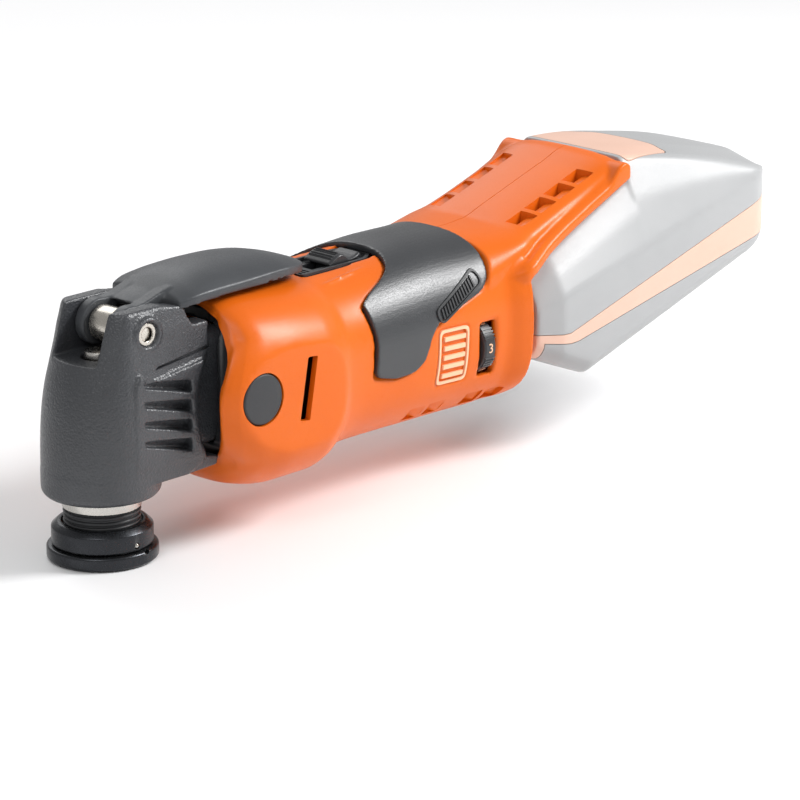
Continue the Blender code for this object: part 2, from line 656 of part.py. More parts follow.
# ---- Motor and electronics inside the housing ----
def motor_and_board():
    centre = (0, 0, MOTOR_Z)
    radii = (STATOR_RADIUS, STATOR_BORE)
    smooth(tube("motor_stator", *radii, STATOR_FRONT, STATOR_REAR, "x", centre, black_plastic()))
    profile = (
        (0, 22.0), (SHAFT_RADIUS, 22.0), (SHAFT_RADIUS, 66.0), (12.2, 66.0), (12.2, 104.0),
        (SHAFT_RADIUS, 104.0), (SHAFT_RADIUS, 121.0), (0, 121.0),
    )
    smooth(turned("motor_rotor", profile, "x", centre, bright_steel(), 24))
    smooth(rod("eccentric_cam", CAM_RADIUS, 12.0, 21.7, "x", (0, CAM_OFFSET, MOTOR_Z), bright_steel(), 20))
    bore = SHAFT_RADIUS + GAP
    fan = ((bore, 50.0), (7.0, 50.0), (7.0, 52.0), (21.0, 52.0), (21.0, 54.0), (7.0, 58.0), (bore, 58.0))
    smooth(turned("cooling_fan", fan, "x", centre, black_plastic(), 24))
    bearing("motor_bearing_front", 9.0, bore, 41.0, 47.5, "x", centre)
    bearing("motor_bearing_rear", 9.0, bore, 112.0, 118.5, "x", centre)
    bearing("spindle_bearing_low", 13.0, 5.3, 24.0, 31.0, "z", (0, 0, 0))
    bearing("spindle_bearing_high", 9.2, 5.3, 52.2, 58.4, "z", (0, 0, 0))
    board = box("control_board", (122.0, -20.0, 35.0), (142.0, 20.0, 36.6), board_green())
    join(board, box("board_capacitor", (126.0, -8.0, 36.0), (138.0, 8.0, 46.0), board_green()))


# ---- Battery rail and pack ----
def rail_floor(x, below=0.0):
    return HUMP_FLOOR + RAIL_SLOPE * (x - HUMP_FRONT) - below


def sloped_bar(name, x_low, x_high, half, top, bottom, made_of):
    """A bar along the rail's slope, from top to bottom millimetres under the hump's floor."""
    rings = []
    for x in (x_low, x_high):
        high, low = rail_floor(x, top), rail_floor(x, bottom)
        rings.append([(x, -half, low), (x, half, low), (x, half, high), (x, -half, high)])
    return loft(name, rings, made_of)


def battery_rail():
    rail = sloped_bar("battery_rail", 172.0, 202.0, 13.0, 0.8, 5.0, black_plastic())
    join(rail, sloped_bar("rail_flange", 172.0, 202.0, 17.0, 3.6, 7.6, black_plastic()))
    for name, y in (("battery_contact_plus", -6.0), ("battery_contact_minus", 6.0)):
        contact = sloped_bar(name, 202.4, 208.5, 0.5, 3.6, 6.8, bright_steel())
        contact.location.y = y * MM


def pack_bottom(x):
    """The underside: up at the front, down to its lowest corner, then rising to the rear."""
    if x < 192.0:
        return 36.5 - 9.5 * (x - PACK_FRONT) / (192.0 - PACK_FRONT)
    return 27.0 + 0.302 * (x - 192.0)


def pack_half(x):
    """Half width in plan: nearly straight sides and a rounded rear end."""
    if x < 180.0:
        return 33.5 + 3.5 * (x - PACK_FRONT) / (180.0 - PACK_FRONT)
    if x < 272.0:
        return PACK_HALF
    share = (x - 272.0) / (OVERALL_REAR - 272.0)
    return 12.0 + (PACK_HALF - 12.0) * math.sqrt(max(1 - share ** 2, 0.0))


def band_low(x):
    return 40.6 + (58.0 - 40.6) * (x - PACK_FRONT) / (286.0 - PACK_FRONT)


def band_high(x):
    return 44.0 + (76.5 - 44.0) * (x - PACK_FRONT) / (286.0 - PACK_FRONT)


def pack_top(x):
    """The rail face runs under the hump; behind the hump the cover steps up and then falls to the rear."""
    if x < HUMP_REAR + 1.0:
        return rail_floor(x, 0.6)
    return 96.0 - 0.0018 * (x - HUMP_REAR) ** 2 - 0.02 * (x - HUMP_REAR)


PACK_STATIONS = (
    PACK_FRONT, 174.0, 180.0, 192.0, 206.0, 222.4, 223.4, 235.0, 252.0, 272.0, 284.0, 292.0, 297.0,
    OVERALL_REAR,
)


def pack_lower_ring(x):
    half, low, high = pack_half(x), pack_bottom(x), band_low(x) - SEAM
    low = min(low, high - 1.0)
    return [(x, -half + 4, low), (x, half - 4, low), (x, half, low + 0.3 * (high - low)), (x, half, high),
            (x, -half, high), (x, -half, low + 0.3 * (high - low))]


def pack_band_ring(x):
    half, low, high = pack_half(x) - 0.3, band_low(x) + SEAM, band_high(x) - SEAM
    return [(x, -half, low), (x, half, low), (x, half, high), (x, -half, high)]


def pack_ridge(x):
    """Height of the crease where the side of the cover turns in towards the top."""
    return 55.7 + 0.237 * (x - 179.4)


def pack_upper_ring(x):
    half, low, high = pack_half(x), band_high(x) + SEAM, pack_top(x)
    ridge = max(min(pack_ridge(x), high - 4.0), low + 1.0)
    flat = max(half - (9.8 if x < HUMP_REAR + 1.0 else 15.0), 5.0)
    shoulder_half, shoulder = (flat + half) / 2 + 1.5, ridge + 0.62 * (high - ridge)
    return [(x, -half, low), (x, half, low), (x, half, ridge), (x, shoulder_half, shoulder),
            (x, flat, high), (x, -flat, high), (x, -shoulder_half, shoulder), (x, -half, ridge)]


def pack_cavity(name, low, high):
    """The room for the cells, from low to high, as a cutter inside the walls."""
    sides = [(x, pack_half(x) - 3.4) for x in (180.0, 192.0, 272.0, 284.0)]
    outline = [(173.0, 30.0), *sides, (288.0, 14.0)]
    rings = []
    for x, half in outline:
        rings.append([(x, -half, low(x)), (x, half, low(x)), (x, half, high(x)), (x, -half, high(x))])
    return loft(name, rings, pale_plastic())


def battery_pack():
    def cavity_floor(x):
        return min(pack_bottom(x) + 2.5, band_low(x) - 0.5)

    lower = loft("pack_lower_shell", [pack_lower_ring(x) for x in PACK_STATIONS], pale_plastic())
    cut(lower, pack_cavity("pack_cavity_low", cavity_floor, lambda x: band_low(x) + 3))
    band = loft("pack_band", [pack_band_ring(x) for x in PACK_STATIONS], peach_plastic())
    cut(band, pack_cavity("pack_cavity_band", lambda x: band_low(x) - 3, lambda x: band_high(x) + 3))
    upper = loft("pack_upper_shell", [pack_upper_ring(x) for x in PACK_STATIONS], pale_plastic())
    cut(upper, pack_cavity("pack_cavity_high", lambda x: band_high(x) - 3, lambda x: band_high(x) + 4.5))
    cut(upper, sloped_bar("pack_slot_neck", 160.0, 216.0, 13.6, -2.0, 6.0, pale_plastic()))
    cut(upper, sloped_bar("pack_slot_flange", 160.0, 216.0, 17.6, 3.0, 8.4, pale_plastic()))
    cut(upper, box("button_well", (229.0, -14.3, 88.0), (256.0, 14.3, 100.0), pale_plastic()))
    button_rings = []
    for x in (229.3, 236.0, 248.0, 255.7):
        high = pack_top(x) - 0.1
        button_rings.append([(x, -14.0, 91.6), (x, 14.0, 91.6), (x, 14.0, high), (x, -14.0, high)])
    loft("pack_release_button", button_rings, peach_plastic())
    for k in range(5):
        centre = (191.5 + 18.9 * k, 0, 42.6 + 5.5 * k)
        smooth(rod(f"battery_cell_{k + 1}", 9.2, -32.5, 32.5, "y", centre, bright_steel(), 16))


for old in list(bpy.data.objects):
    bpy.data.objects.remove(old)
mount_flange()
mount_ring()
index_pin()
neck_seal()
spindle_collar()
output_spindle()
rocker_arm()
clamp_plunger()
clamp_spring()
gear_head()
head_damper()
clamp_lever()
hinge_hardware()
housing()
housing_screws()
soft_grip()
side_plugs()
badge_plate()
switch_parts()
speed_dial()
motor_and_board()
battery_rail()
battery_pack()
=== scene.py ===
import json
import math

import bpy
import numpy as np
from mathutils import Matrix, Vector


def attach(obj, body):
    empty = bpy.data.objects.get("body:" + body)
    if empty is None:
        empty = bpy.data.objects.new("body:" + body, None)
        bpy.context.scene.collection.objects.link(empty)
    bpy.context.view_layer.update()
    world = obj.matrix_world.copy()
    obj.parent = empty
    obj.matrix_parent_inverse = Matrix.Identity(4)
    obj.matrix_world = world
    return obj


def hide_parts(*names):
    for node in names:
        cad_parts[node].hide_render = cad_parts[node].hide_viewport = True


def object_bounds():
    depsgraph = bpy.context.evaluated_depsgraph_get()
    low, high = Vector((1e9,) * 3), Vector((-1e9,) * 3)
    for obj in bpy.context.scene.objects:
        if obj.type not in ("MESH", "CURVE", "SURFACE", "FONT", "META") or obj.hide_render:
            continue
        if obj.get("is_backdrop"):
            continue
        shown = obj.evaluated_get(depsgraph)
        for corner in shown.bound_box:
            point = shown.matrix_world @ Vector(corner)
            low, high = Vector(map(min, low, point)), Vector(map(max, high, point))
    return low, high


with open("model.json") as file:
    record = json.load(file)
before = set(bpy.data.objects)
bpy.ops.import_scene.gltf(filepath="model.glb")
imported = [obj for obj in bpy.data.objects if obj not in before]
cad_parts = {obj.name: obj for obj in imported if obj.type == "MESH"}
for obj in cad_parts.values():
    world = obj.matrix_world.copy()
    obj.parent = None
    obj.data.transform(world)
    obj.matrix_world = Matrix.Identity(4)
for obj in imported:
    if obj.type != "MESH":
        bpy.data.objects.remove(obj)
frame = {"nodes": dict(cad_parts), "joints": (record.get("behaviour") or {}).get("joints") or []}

cad_low, cad_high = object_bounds()

# ----------------------------------------
# Camera, floor and light. A long lens looks down on the tool from the front left. The floor is
# a pale sweep of board, and three soft boxes light it: one over the front left, one over the
# right, one behind.
def placed(name, data):
    """A new object in the scene."""
    made = bpy.data.objects.new(name, data)
    bpy.context.scene.collection.objects.link(made)
    return made


view_turn, view_rise = math.radians(-46.0), math.radians(17.1)
camera_data = bpy.data.cameras.new("camera")
camera_data.lens, camera_data.sensor_width = 180.0, 36.0
camera_data.clip_start, camera_data.clip_end = 0.1, 20.0
camera = placed("camera", camera_data)
sight_right = Vector((math.cos(view_turn), math.sin(view_turn), 0))
sight_back = Vector((
    math.sin(view_turn) * math.cos(view_rise), -math.cos(view_turn) * math.cos(view_rise), math.sin(view_rise)
))
camera.matrix_world = Matrix.Translation((-0.9439, -0.9081, 0.4238)) @ Matrix(
    (sight_right, sight_back.cross(sight_right), sight_back)
).transposed().to_4x4()
bpy.context.scene.camera = camera
bpy.context.scene.view_settings.view_transform = "Standard"

floor_mesh = bpy.data.meshes.new("floor")
floor_reach = 6.0
floor_mesh.from_pydata(
    [(-floor_reach, -floor_reach, 0), (floor_reach, -floor_reach, 0), (floor_reach, floor_reach, 0),
     (-floor_reach, floor_reach, 0)], [], [(0, 1, 2, 3)])
floor = placed("floor", floor_mesh)
floor_paint = bpy.data.materials.new("floor_paint")
floor_paint.use_nodes = True
floor_shader = floor_paint.node_tree.nodes["Principled BSDF"]
floor_shader.inputs["Base Color"].default_value = (0.93, 0.93, 0.935, 1)
floor_shader.inputs["Roughness"].default_value = 0.75
floor_mesh.materials.append(floor_paint)
floor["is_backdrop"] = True

surround = bpy.data.worlds.new("surround")
surround.use_nodes = True
surround.node_tree.nodes["Background"].inputs["Color"].default_value = (1.0, 1.0, 1.0, 1)
surround.node_tree.nodes["Background"].inputs["Strength"].default_value = 0.42
bpy.context.scene.world = surround

tool_middle = Vector((0.0, 0.0, 0.05))  # every box faces this point
SOFT_BOXES = (  # name, place, size, power
    ("front_left_box", (-0.8, -0.35, 0.9), 0.5, 3.0),
    ("right_box", (0.62, -0.6, 0.72), 0.38, 13.0),
    ("back_box", (0.3, 0.95, 0.9), 0.9, 5.0),
)
for name, place, size, power in SOFT_BOXES:
    lamp = bpy.data.lights.new(name, "AREA")
    lamp.energy, lamp.shape, lamp.size = power, "SQUARE", size
    box = placed(name, lamp)
    box.location = place
    box.rotation_euler = (tool_middle - Vector(place)).to_track_quat("-Z", "Y").to_euler()

# ----------------------------------------
# Mount flange and clamping ring. Two turned steel rings, blackened, that hold the accessory:
# the flange has the star socket, and the ring above it screws on to the spindle.
MM = 0.001
spindle_x = next(joint for joint in frame["joints"] if joint["name"] == "spindle_swing")["pos_m"][0]


def piece(name, points, faces):
    """A mesh object from points in millimetres, x counted from the spindle axis."""
    mesh = bpy.data.meshes.new(name)
    mesh.from_pydata([(spindle_x + x * MM, y * MM, z * MM) for x, y, z in points], [], faces)
    mesh.update()
    return placed(name, mesh)


def closed(name, points, faces):
    """A closed skin whose faces are turned to point outwards."""
    corners = np.array(points, float)
    volume = sum(
        np.dot(corners[f[0]], np.cross(corners[f[k]], corners[f[k + 1]])) for f in faces for k in range(1, len(f) - 1)
    )
    return piece(name, points, faces if volume > 0 else [f[::-1] for f in faces])


def loft(name, rings):
    """A closed skin through rings of equally many points, with flat ends."""
    count = len(rings[0])
    points = [p for ring in rings for p in ring]
    faces = [tuple(range(count))[::-1], tuple(range(len(points) - count, len(points)))]
    for r in range(len(rings) - 1):
        for i in range(count):
            j, a, b = (i + 1) % count, r * count, (r + 1) * count
            faces.append((a + i, a + j, b + j, b + i))
    return closed(name, points, faces)


PLACE_ALONG = {"x": lambda u, v, h: (h, u, v), "y": lambda u, v, h: (u, h, v), "z": lambda u, v, h: (u, v, h)}


def prism(name, outline, axis, low, high):
    """An outline across the axis, stretched from low to high along it."""
    return loft(name, [[PLACE_ALONG[axis](u, v, h) for u, v in outline] for h in (low, high)])


def eased(corners, radius, closed=True, steps=4):
    """A line of corners with each one rounded off by an arc-like curve of at most that radius."""
    line, count = [], len(corners)
    for k, corner in enumerate(corners):
        if not closed and k in (0, count - 1):
            line.append(corner)
            continue
        here = Vector(corner)
        before, after = Vector(corners[k - 1]) - here, Vector(corners[(k + 1) % count]) - here
        reach = min(radius, 0.45 * before.length, 0.45 * after.length)
        start, end = here + before.normalized() * reach, here + after.normalized() * reach
        for step in range(steps + 1):
            t = step / steps
            line.append(tuple(start * (1 - t) ** 2 + here * 2 * t * (1 - t) + end * t ** 2))
    return line


def turned(name, profile, axis, centre, edge=0.35, steps=96):
    """A profile of (radius, height) with eased corners, spun about an axis through centre."""
    solid = profile[0][0] == 0
    line = eased(profile, edge, closed=not solid, steps=3)
    rings = []
    for k in range(steps):
        turn = 2 * math.pi * k / steps
        rings.append([PLACE_ALONG[axis](
            centre[0] + radius * math.cos(turn), centre[1] + radius * math.sin(turn), height
        ) for radius, height in line])
    count, points, faces = len(line), [p for ring in rings for p in ring], []
    for k in range(steps):
        a, b = k * count, (k + 1) % steps * count
        for i in range(count - 1 if solid else count):
            j = (i + 1) % count
            face = [a + i, a + j, b + j, b + i]
            if solid and i == 0:
                face = [0, a + j, b + j]
            if solid and j == count - 1:
                face = [a + i, count - 1, b + i]
            faces.append(tuple(face))
    used = sorted({i for face in faces for i in face})
    place = {old: new for new, old in enumerate(used)}
    return closed(name, [points[i] for i in used], [tuple(place[i] for i in face) for face in faces])


def tube(name, inner, outer, low, high, axis, centre, edge=0.35, steps=96):
    """A plain tube from low to high along an axis."""
    return turned(name, ((inner, low), (outer, low), (outer, high), (inner, high)), axis, centre, edge, steps)


def rod(name, radius, low, high, axis, centre, edge=0.35, steps=96):
    return tube(name, 0, radius, low, high, axis, centre, edge, steps)


def settle(made):
    """The object's modifiers worked into its mesh."""
    graph = bpy.context.evaluated_depsgraph_get()
    mesh = bpy.data.meshes.new_from_object(made.evaluated_get(graph))
    made.modifiers.clear()
    made.data = mesh
    return made


def shape_with(made, operation, *tools):
    """Cuts, joins or trims with closed solids, which are used up."""
    for tool in tools:
        modifier = made.modifiers.new(tool.name, "BOOLEAN")
        modifier.operation, modifier.solver, modifier.object = operation, "MANIFOLD", tool
    settle(made)
    for tool in tools:
        bpy.data.objects.remove(tool)
    return made


def cut(made, *tools):
    return shape_with(made, "DIFFERENCE", *tools)


def trim(made, *tools):
    return shape_with(made, "INTERSECT", *tools)


def add(made, *tools):
    return shape_with(made, "UNION", *tools)


def smooth(made, angle=40.0):
    made.data.shade_smooth()
    made.data.set_sharp_from_angle(angle=math.radians(angle))
    return made


def feed(tree, socket, value):
    """Links an output, or a node's first output, to a socket, or sets the socket to a plain value."""
    value = value.outputs[0] if isinstance(value, bpy.types.Node) else value
    if isinstance(value, bpy.types.NodeSocket):
        tree.links.new(value, socket)
    else:
        socket.default_value = value


def step_of(tree, kind, settings=None, **sockets):
    """A node with its settings, and each named socket set or linked."""
    made = tree.nodes.new(kind)
    for key, value in (settings or {}).items():
        setattr(made, key, value)
    for key, value in sockets.items():
        feed(tree, made.inputs[key.replace("_", " ")], value)
    return made


def node(tree, kind, settings=None, **sockets):
    """A shader node, named by the end of its type."""
    return step_of(tree, "ShaderNode" + kind, settings, **sockets)


def sum_of(tree, kind, operation, *values):
    """A Math or VectorMath node, with its inputs set or linked in order."""
    made = node(tree, kind, {"operation": operation})
    for socket, value in zip(made.inputs, values):
        feed(tree, socket, value)
    return made


def shader_group(name, inputs, outputs):
    """An empty node group with named number inputs and outputs, and the sockets at its two ends."""
    group = bpy.data.node_groups.new(name, "ShaderNodeTree")
    for label, value in inputs:
        group.interface.new_socket(label, in_out="INPUT", socket_type="NodeSocketFloat").default_value = value
    for label in outputs:
        group.interface.new_socket(label, in_out="OUTPUT", socket_type="NodeSocketFloat")
    return group, group.nodes.new("NodeGroupInput").outputs, group.nodes.new("NodeGroupOutput").inputs


# Fine pitting, as of a powder coat or a spark-eroded mould.
grain_group, grain_in, grain_out = shader_group("fine_grain", (("Scale", 2500.0),), ("Height", "Tone"))
grain_place = node(grain_group, "TexCoord").outputs["Object"]
grain_fine = node(grain_group, "TexNoise", Vector=grain_place, Scale=grain_in["Scale"], Detail=2.0)
grain_pits = node(grain_group, "TexVoronoi", Vector=grain_place, Scale=grain_in["Scale"])
grain_sum = sum_of(grain_group, "Math", "MULTIPLY_ADD", grain_pits.outputs["Distance"], 0.6, grain_fine)
grain_tone = node(grain_group, "MapRange", Value=grain_sum.outputs[0], From_Min=0.45, From_Max=1.1)
grain_group.links.new(grain_sum.outputs[0], grain_out["Height"])
grain_group.links.new(grain_tone.outputs[0], grain_out["Tone"])

# Slow, uneven change over a large surface, as from handling and from the moulding.
mottle_group, mottle_in, mottle_out = shader_group("soft_mottle", (("Scale", 30.0),), ("Tone",))
mottle_place = node(mottle_group, "TexCoord").outputs["Object"]
mottle_noise = node(mottle_group, "TexNoise", Vector=mottle_place, Scale=mottle_in["Scale"], Detail=4.0,
                    Roughness=0.6)
mottle_tone = node(mottle_group, "MapRange", Value=mottle_noise.outputs[0], From_Min=0.3, From_Max=0.7)
mottle_group.links.new(mottle_tone.outputs[0], mottle_out["Tone"])

# Rubbed edges: where the surface turns sharply outwards, broken up by a little noise.
wear_group, wear_in, wear_out = shader_group("edge_wear", (("Start", 0.52), ("Full", 0.6)), ("Mask",))
wear_turn = node(wear_group, "NewGeometry").outputs["Pointiness"]
wear_range = node(wear_group, "MapRange", Value=wear_turn, From_Min=wear_in["Start"], From_Max=wear_in["Full"])
wear_place = node(wear_group, "TexCoord").outputs["Object"]
wear_noise = node(wear_group, "TexNoise", Vector=wear_place, Scale=420.0, Detail=3.0)
wear_break = sum_of(wear_group, "Math", "MULTIPLY", wear_range, wear_noise)
wear_group.links.new(wear_break.outputs[0], wear_out["Mask"])

# Tool marks left by a lathe: fine rings round the axis X, Y or Z through a centre.
marks_group, marks_in, marks_out = shader_group(
    "turning_marks", (("Centre X", 0.0), ("Centre Y", 0.0), ("Centre Z", 0.0), ("Along X", 0.0), ("Along Y", 0.0),
                      ("Along Z", 1.0), ("Scale", 5000.0)), ("Height",))
marks_place = node(marks_group, "TexCoord").outputs["Object"]
marks_centre = node(marks_group, "CombineXYZ", **{a: marks_in["Centre " + a] for a in "XYZ"})
marks_axis = node(marks_group, "CombineXYZ", **{a: marks_in["Along " + a] for a in "XYZ"})
marks_from = sum_of(marks_group, "VectorMath", "SUBTRACT", marks_place, marks_centre)
marks_pair = marks_from.outputs[0], marks_axis.outputs[0]
marks_height = sum_of(marks_group, "VectorMath", "DOT_PRODUCT", *marks_pair)
marks_cross = sum_of(marks_group, "VectorMath", "CROSS_PRODUCT", *marks_pair)
marks_radius = sum_of(marks_group, "VectorMath", "LENGTH", marks_cross.outputs[0])
marks_flat = node(marks_group, "CombineXYZ", X=marks_radius.outputs["Value"], Y=marks_height.outputs["Value"])
marks_noise = node(marks_group, "TexNoise", Vector=marks_flat, Scale=marks_in["Scale"], Detail=2.0)
marks_group.links.new(marks_noise.outputs[0], marks_out["Height"])


def use_group(tree, group, **values):
    return node(tree, "Group", {"node_tree": group}, **values)


def mixed(tree, share, first, second):
    """Two colours mixed by a share that changes over the surface."""
    made = tree.nodes.new("ShaderNodeMix")
    made.data_type = "RGBA"
    tree.links.new(share, made.inputs[0])
    for value, socket in ((first, made.inputs[6]), (second, made.inputs[7])):
        feed(tree, socket, value if isinstance(value, bpy.types.NodeSocket) else (*value, 1))
    return made.outputs[2]


def finish(name, colour, darker, roughness, metallic=0.0, grain=2500.0, pitting=0.3, depth=0.00006, mottle=30.0,
           worn=None, wear=(0.52, 0.6), turned_about=None, coat=0.0, shine=0.5):
    """A surface that mottles between two colours, with fine grain or turning marks, and worn edges if it has them."""
    made = bpy.data.materials.new(name)
    made.use_nodes = True
    tree = made.node_tree
    shader = tree.nodes["Principled BSDF"]
    shader.inputs["Metallic"].default_value = metallic
    shader.inputs["Specular IOR Level"].default_value = shine
    if coat:
        shader.inputs["Coat Weight"].default_value = coat
        shader.inputs["Coat Roughness"].default_value = 0.25
    patches = use_group(tree, mottle_group, Scale=mottle).outputs["Tone"]
    fine = use_group(tree, grain_group, Scale=grain)
    surface = mixed(tree, patches, colour, darker)
    if worn:
        mask = use_group(tree, wear_group, Start=wear[0], Full=wear[1]).outputs["Mask"]
        surface = mixed(tree, mask, surface, worn)
    tree.links.new(surface, shader.inputs["Base Color"])
    rough = node(tree, "MapRange", Value=fine.outputs["Tone"], To_Min=roughness - 0.06, To_Max=roughness + 0.1)
    tree.links.new(rough.outputs[0], shader.inputs["Roughness"])
    height = fine.outputs["Height"]
    if turned_about:
        centre, along = turned_about
        values = {"Centre_" + a: v * MM + (spindle_x if a == "X" else 0) for a, v in zip("XYZ", centre)}
        values.update({"Along_" + a: float(a == along) for a in "XYZ"})
        height = use_group(tree, marks_group, **values).outputs["Height"]
    bump = node(tree, "Bump", Height=height, Strength=pitting, Distance=depth)
    tree.links.new(bump.outputs[0], shader.inputs["Normal"])
    return made


def fit(made, body, slot, surface, *nodes):
    """Gives a finished piece its surface and its body, and hides the CAD nodes that it stands for; the slot is not
    used.
    """
    made.data.materials.clear()
    made.data.materials.append(surface)
    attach(made, body)
    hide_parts(*nodes)
    return made


def refinish(body_nodes, surface):
    """A CAD node whose shape is right keeps it and gets this surface."""
    for name in body_nodes:
        for held in frame["nodes"][name].material_slots:
            held.material = surface


FLANGE_RADIUS, FLANGE_TOP = 18.0, 4.8
blackened_steel = finish("blackened_steel", (0.028, 0.03, 0.034), (0.045, 0.047, 0.052), 0.27, metallic=0.85,
                         pitting=0.12, worn=(0.3, 0.3, 0.3), turned_about=((0, 0, 0), "Z"))
mount_flange = turned("mount_flange_turned", ((0, 0.02), (17.0, 0.02), (FLANGE_RADIUS, 0.9), (FLANGE_RADIUS, 4.2),
                                              (17.5, FLANGE_TOP), (0, FLANGE_TOP)), "z", (0, 0), steps=128)
STAR_TIPS, STAR_OUTER, STAR_INNER = 12, 11.0, 9.2
star = []
for k in range(4 * STAR_TIPS):
    radius = STAR_OUTER if k % 4 < 2 else STAR_INNER
    turn = 2 * math.pi * (k + 0.5) / (4 * STAR_TIPS)
    star.append((radius * math.cos(turn), radius * math.sin(turn)))
rim_notch = rod("rim_notch", 1.3, -20.0, -15.5, "y", (3.2, FLANGE_TOP + 0.3), steps=20)
cut(mount_flange, prism("star_socket", eased(star, 0.5, steps=2), "z", -1.0, 6.0), rim_notch)
fit(smooth(mount_flange), "spindle", "black_oxide", blackened_steel, "mount_flange")

RING_RADIUS, RING_LOW, RING_TOP = 16.4, 5.1, 12.6
mount_ring = turned("mount_ring_turned", ((7.0, RING_LOW), (RING_RADIUS - 0.4, RING_LOW),
                                          (RING_RADIUS, RING_LOW + 0.5), (RING_RADIUS, 10.8), (14.4, RING_TOP),
                                          (13.1, RING_TOP), (13.1, 10.7), (7.0, 10.7)), "z", (0, 0), steps=128)
pin_bore = rod("pin_bore", 1.1, -18.0, -13.5, "y", (0, 7.0), steps=24)
cut(mount_ring, pin_bore)
fit(smooth(mount_ring), "spindle", "black_oxide", blackened_steel, "mount_ring")

# ----------------------------------------
# Index pin. A bright steel stud that lines the accessory up, pressed into a bore in the ring's
# rim with its round end just proud.
bright_steel = finish("bright_steel", (0.62, 0.6, 0.56), (0.5, 0.48, 0.45), 0.22, metallic=1.0, grain=1800.0,
                      pitting=0.08, turned_about=((0, 0, 0), "Z"))
index_pin = turned("index_pin_round", ((0, -16.75), (0.8, -16.4), (0.8, -13.9), (0, -13.9)), "y", (0, 7.0), 0.3, 24)
fit(smooth(index_pin), "spindle", "bright_steel", bright_steel, "index_pin")


# ----------------------------------------
# Neck seal. A moulded rubber sleeve with three round ribs, pressed on to the neck of the head
# casting to keep dust out of the lower bearing.
def node_tree(name, inputs):
    """A Geometry Nodes tree with named inputs and one geometry output, and the sockets at its two ends."""
    tree = bpy.data.node_groups.new(name, "GeometryNodeTree")
    for label, kind, value in inputs:
        socket = tree.interface.new_socket(label, in_out="INPUT", socket_type="NodeSocket" + kind)
        if value is not None:
            socket.default_value = value
    tree.interface.new_socket("Geometry", in_out="OUTPUT", socket_type="NodeSocketGeometry")
    return tree, tree.nodes.new("NodeGroupInput").outputs, tree.nodes.new("NodeGroupOutput").inputs


def close_tree(tree, ends, surface, geometry):
    """The last two steps of every tree: real copies, and their surface."""
    real = step_of(tree, "GeometryNodeRealizeInstances", Geometry=geometry)
    dressed = step_of(tree, "GeometryNodeSetMaterial", Geometry=real, Material=surface)
    tree.links.new(dressed.outputs["Geometry"], ends["Geometry"])


def grow(name, tree, start=None, **values):
    """Runs a tree on an object and keeps the result as a plain mesh."""
    made = start or placed(name, bpy.data.meshes.new(name))
    made.name = name
    modifier = made.modifiers.new(name, "NODES")
    modifier.node_group = tree
    labels = {item.name: item.identifier for item in tree.interface.items_tree if item.in_out == "INPUT"}
    for label, value in values.items():
        modifier[labels[label.replace("_", " ")]] = value
    made.update_tag()
    bpy.context.view_layer.update()
    return settle(made)


ribs_tree, ribs_in, ribs_out = node_tree("rib_stack", (
    ("Sleeve", "Geometry", None), ("Count", "Int", 3), ("Centre", "Vector", (0, 0, 0)), ("Pitch", "Float", 0.002),
    ("Radius", "Float", 0.012), ("Rib", "Float", 0.0006), ("Surface", "Material", None)))
ribs_path = step_of(ribs_tree, "GeometryNodeCurvePrimitiveCircle", Resolution=96, Radius=ribs_in["Radius"])
ribs_round = step_of(ribs_tree, "GeometryNodeCurvePrimitiveCircle", Resolution=12, Radius=ribs_in["Rib"])
ribs_ring = step_of(ribs_tree, "GeometryNodeCurveToMesh", Curve=ribs_path, Profile_Curve=ribs_round)
ribs_rise = node(ribs_tree, "CombineXYZ", Z=ribs_in["Pitch"])
ribs_line = step_of(ribs_tree, "GeometryNodeMeshLine", Count=ribs_in["Count"], Start_Location=ribs_in["Centre"],
                    Offset=ribs_rise)
ribs_copies = step_of(ribs_tree, "GeometryNodeInstanceOnPoints", Points=ribs_line, Instance=ribs_ring)
ribs_whole = step_of(ribs_tree, "GeometryNodeJoinGeometry", Geometry=ribs_in["Sleeve"])
ribs_tree.links.new(ribs_copies.outputs["Instances"], ribs_whole.inputs["Geometry"])
close_tree(ribs_tree, ribs_out, ribs_in["Surface"], ribs_whole)

NECK_RADIUS, NECK_LOW, NECK_TOP = 12.6, 11.0, 17.1
seal_rubber = finish("seal_rubber", (0.018, 0.019, 0.021), (0.028, 0.029, 0.031), 0.42, grain=3000.0, pitting=0.2)
sleeve = tube("neck_sleeve", 7.0, NECK_RADIUS - 0.7, NECK_LOW, NECK_TOP, "z", (0, 0))
neck_seal = grow("neck_seal_ribbed", ribs_tree, sleeve, Count=3, Centre=(spindle_x, 0, 12.5 * MM), Pitch=1.75 * MM,
                 Radius=(NECK_RADIUS - 0.7) * MM, Rib=0.65 * MM, Surface=seal_rubber)
fit(smooth(neck_seal), "housing", "grip_rubber", seal_rubber, "neck_seal")

# ----------------------------------------
# Spindle collar. A bright steel ring, turned and pressed into the mouth of the casting above
# the neck seal.
COLLAR_RADIUS, COLLAR_LOW, COLLAR_TOP = 12.8, 17.4, 21.2
collar = tube("spindle_collar_turned", 7.0, COLLAR_RADIUS, COLLAR_LOW, COLLAR_TOP, "z", (0, 0))
fit(smooth(collar), "housing", "bright_steel", bright_steel, "spindle_collar")

# ----------------------------------------
# Spindle, rocker arm and bearings. Ground steel, hidden in the casting; their shapes are the
# CAD's own, and they get the surfaces of what they are.
refinish(("output_spindle", "rocker_arm", "spindle_bearing_low", "spindle_bearing_high"), bright_steel)

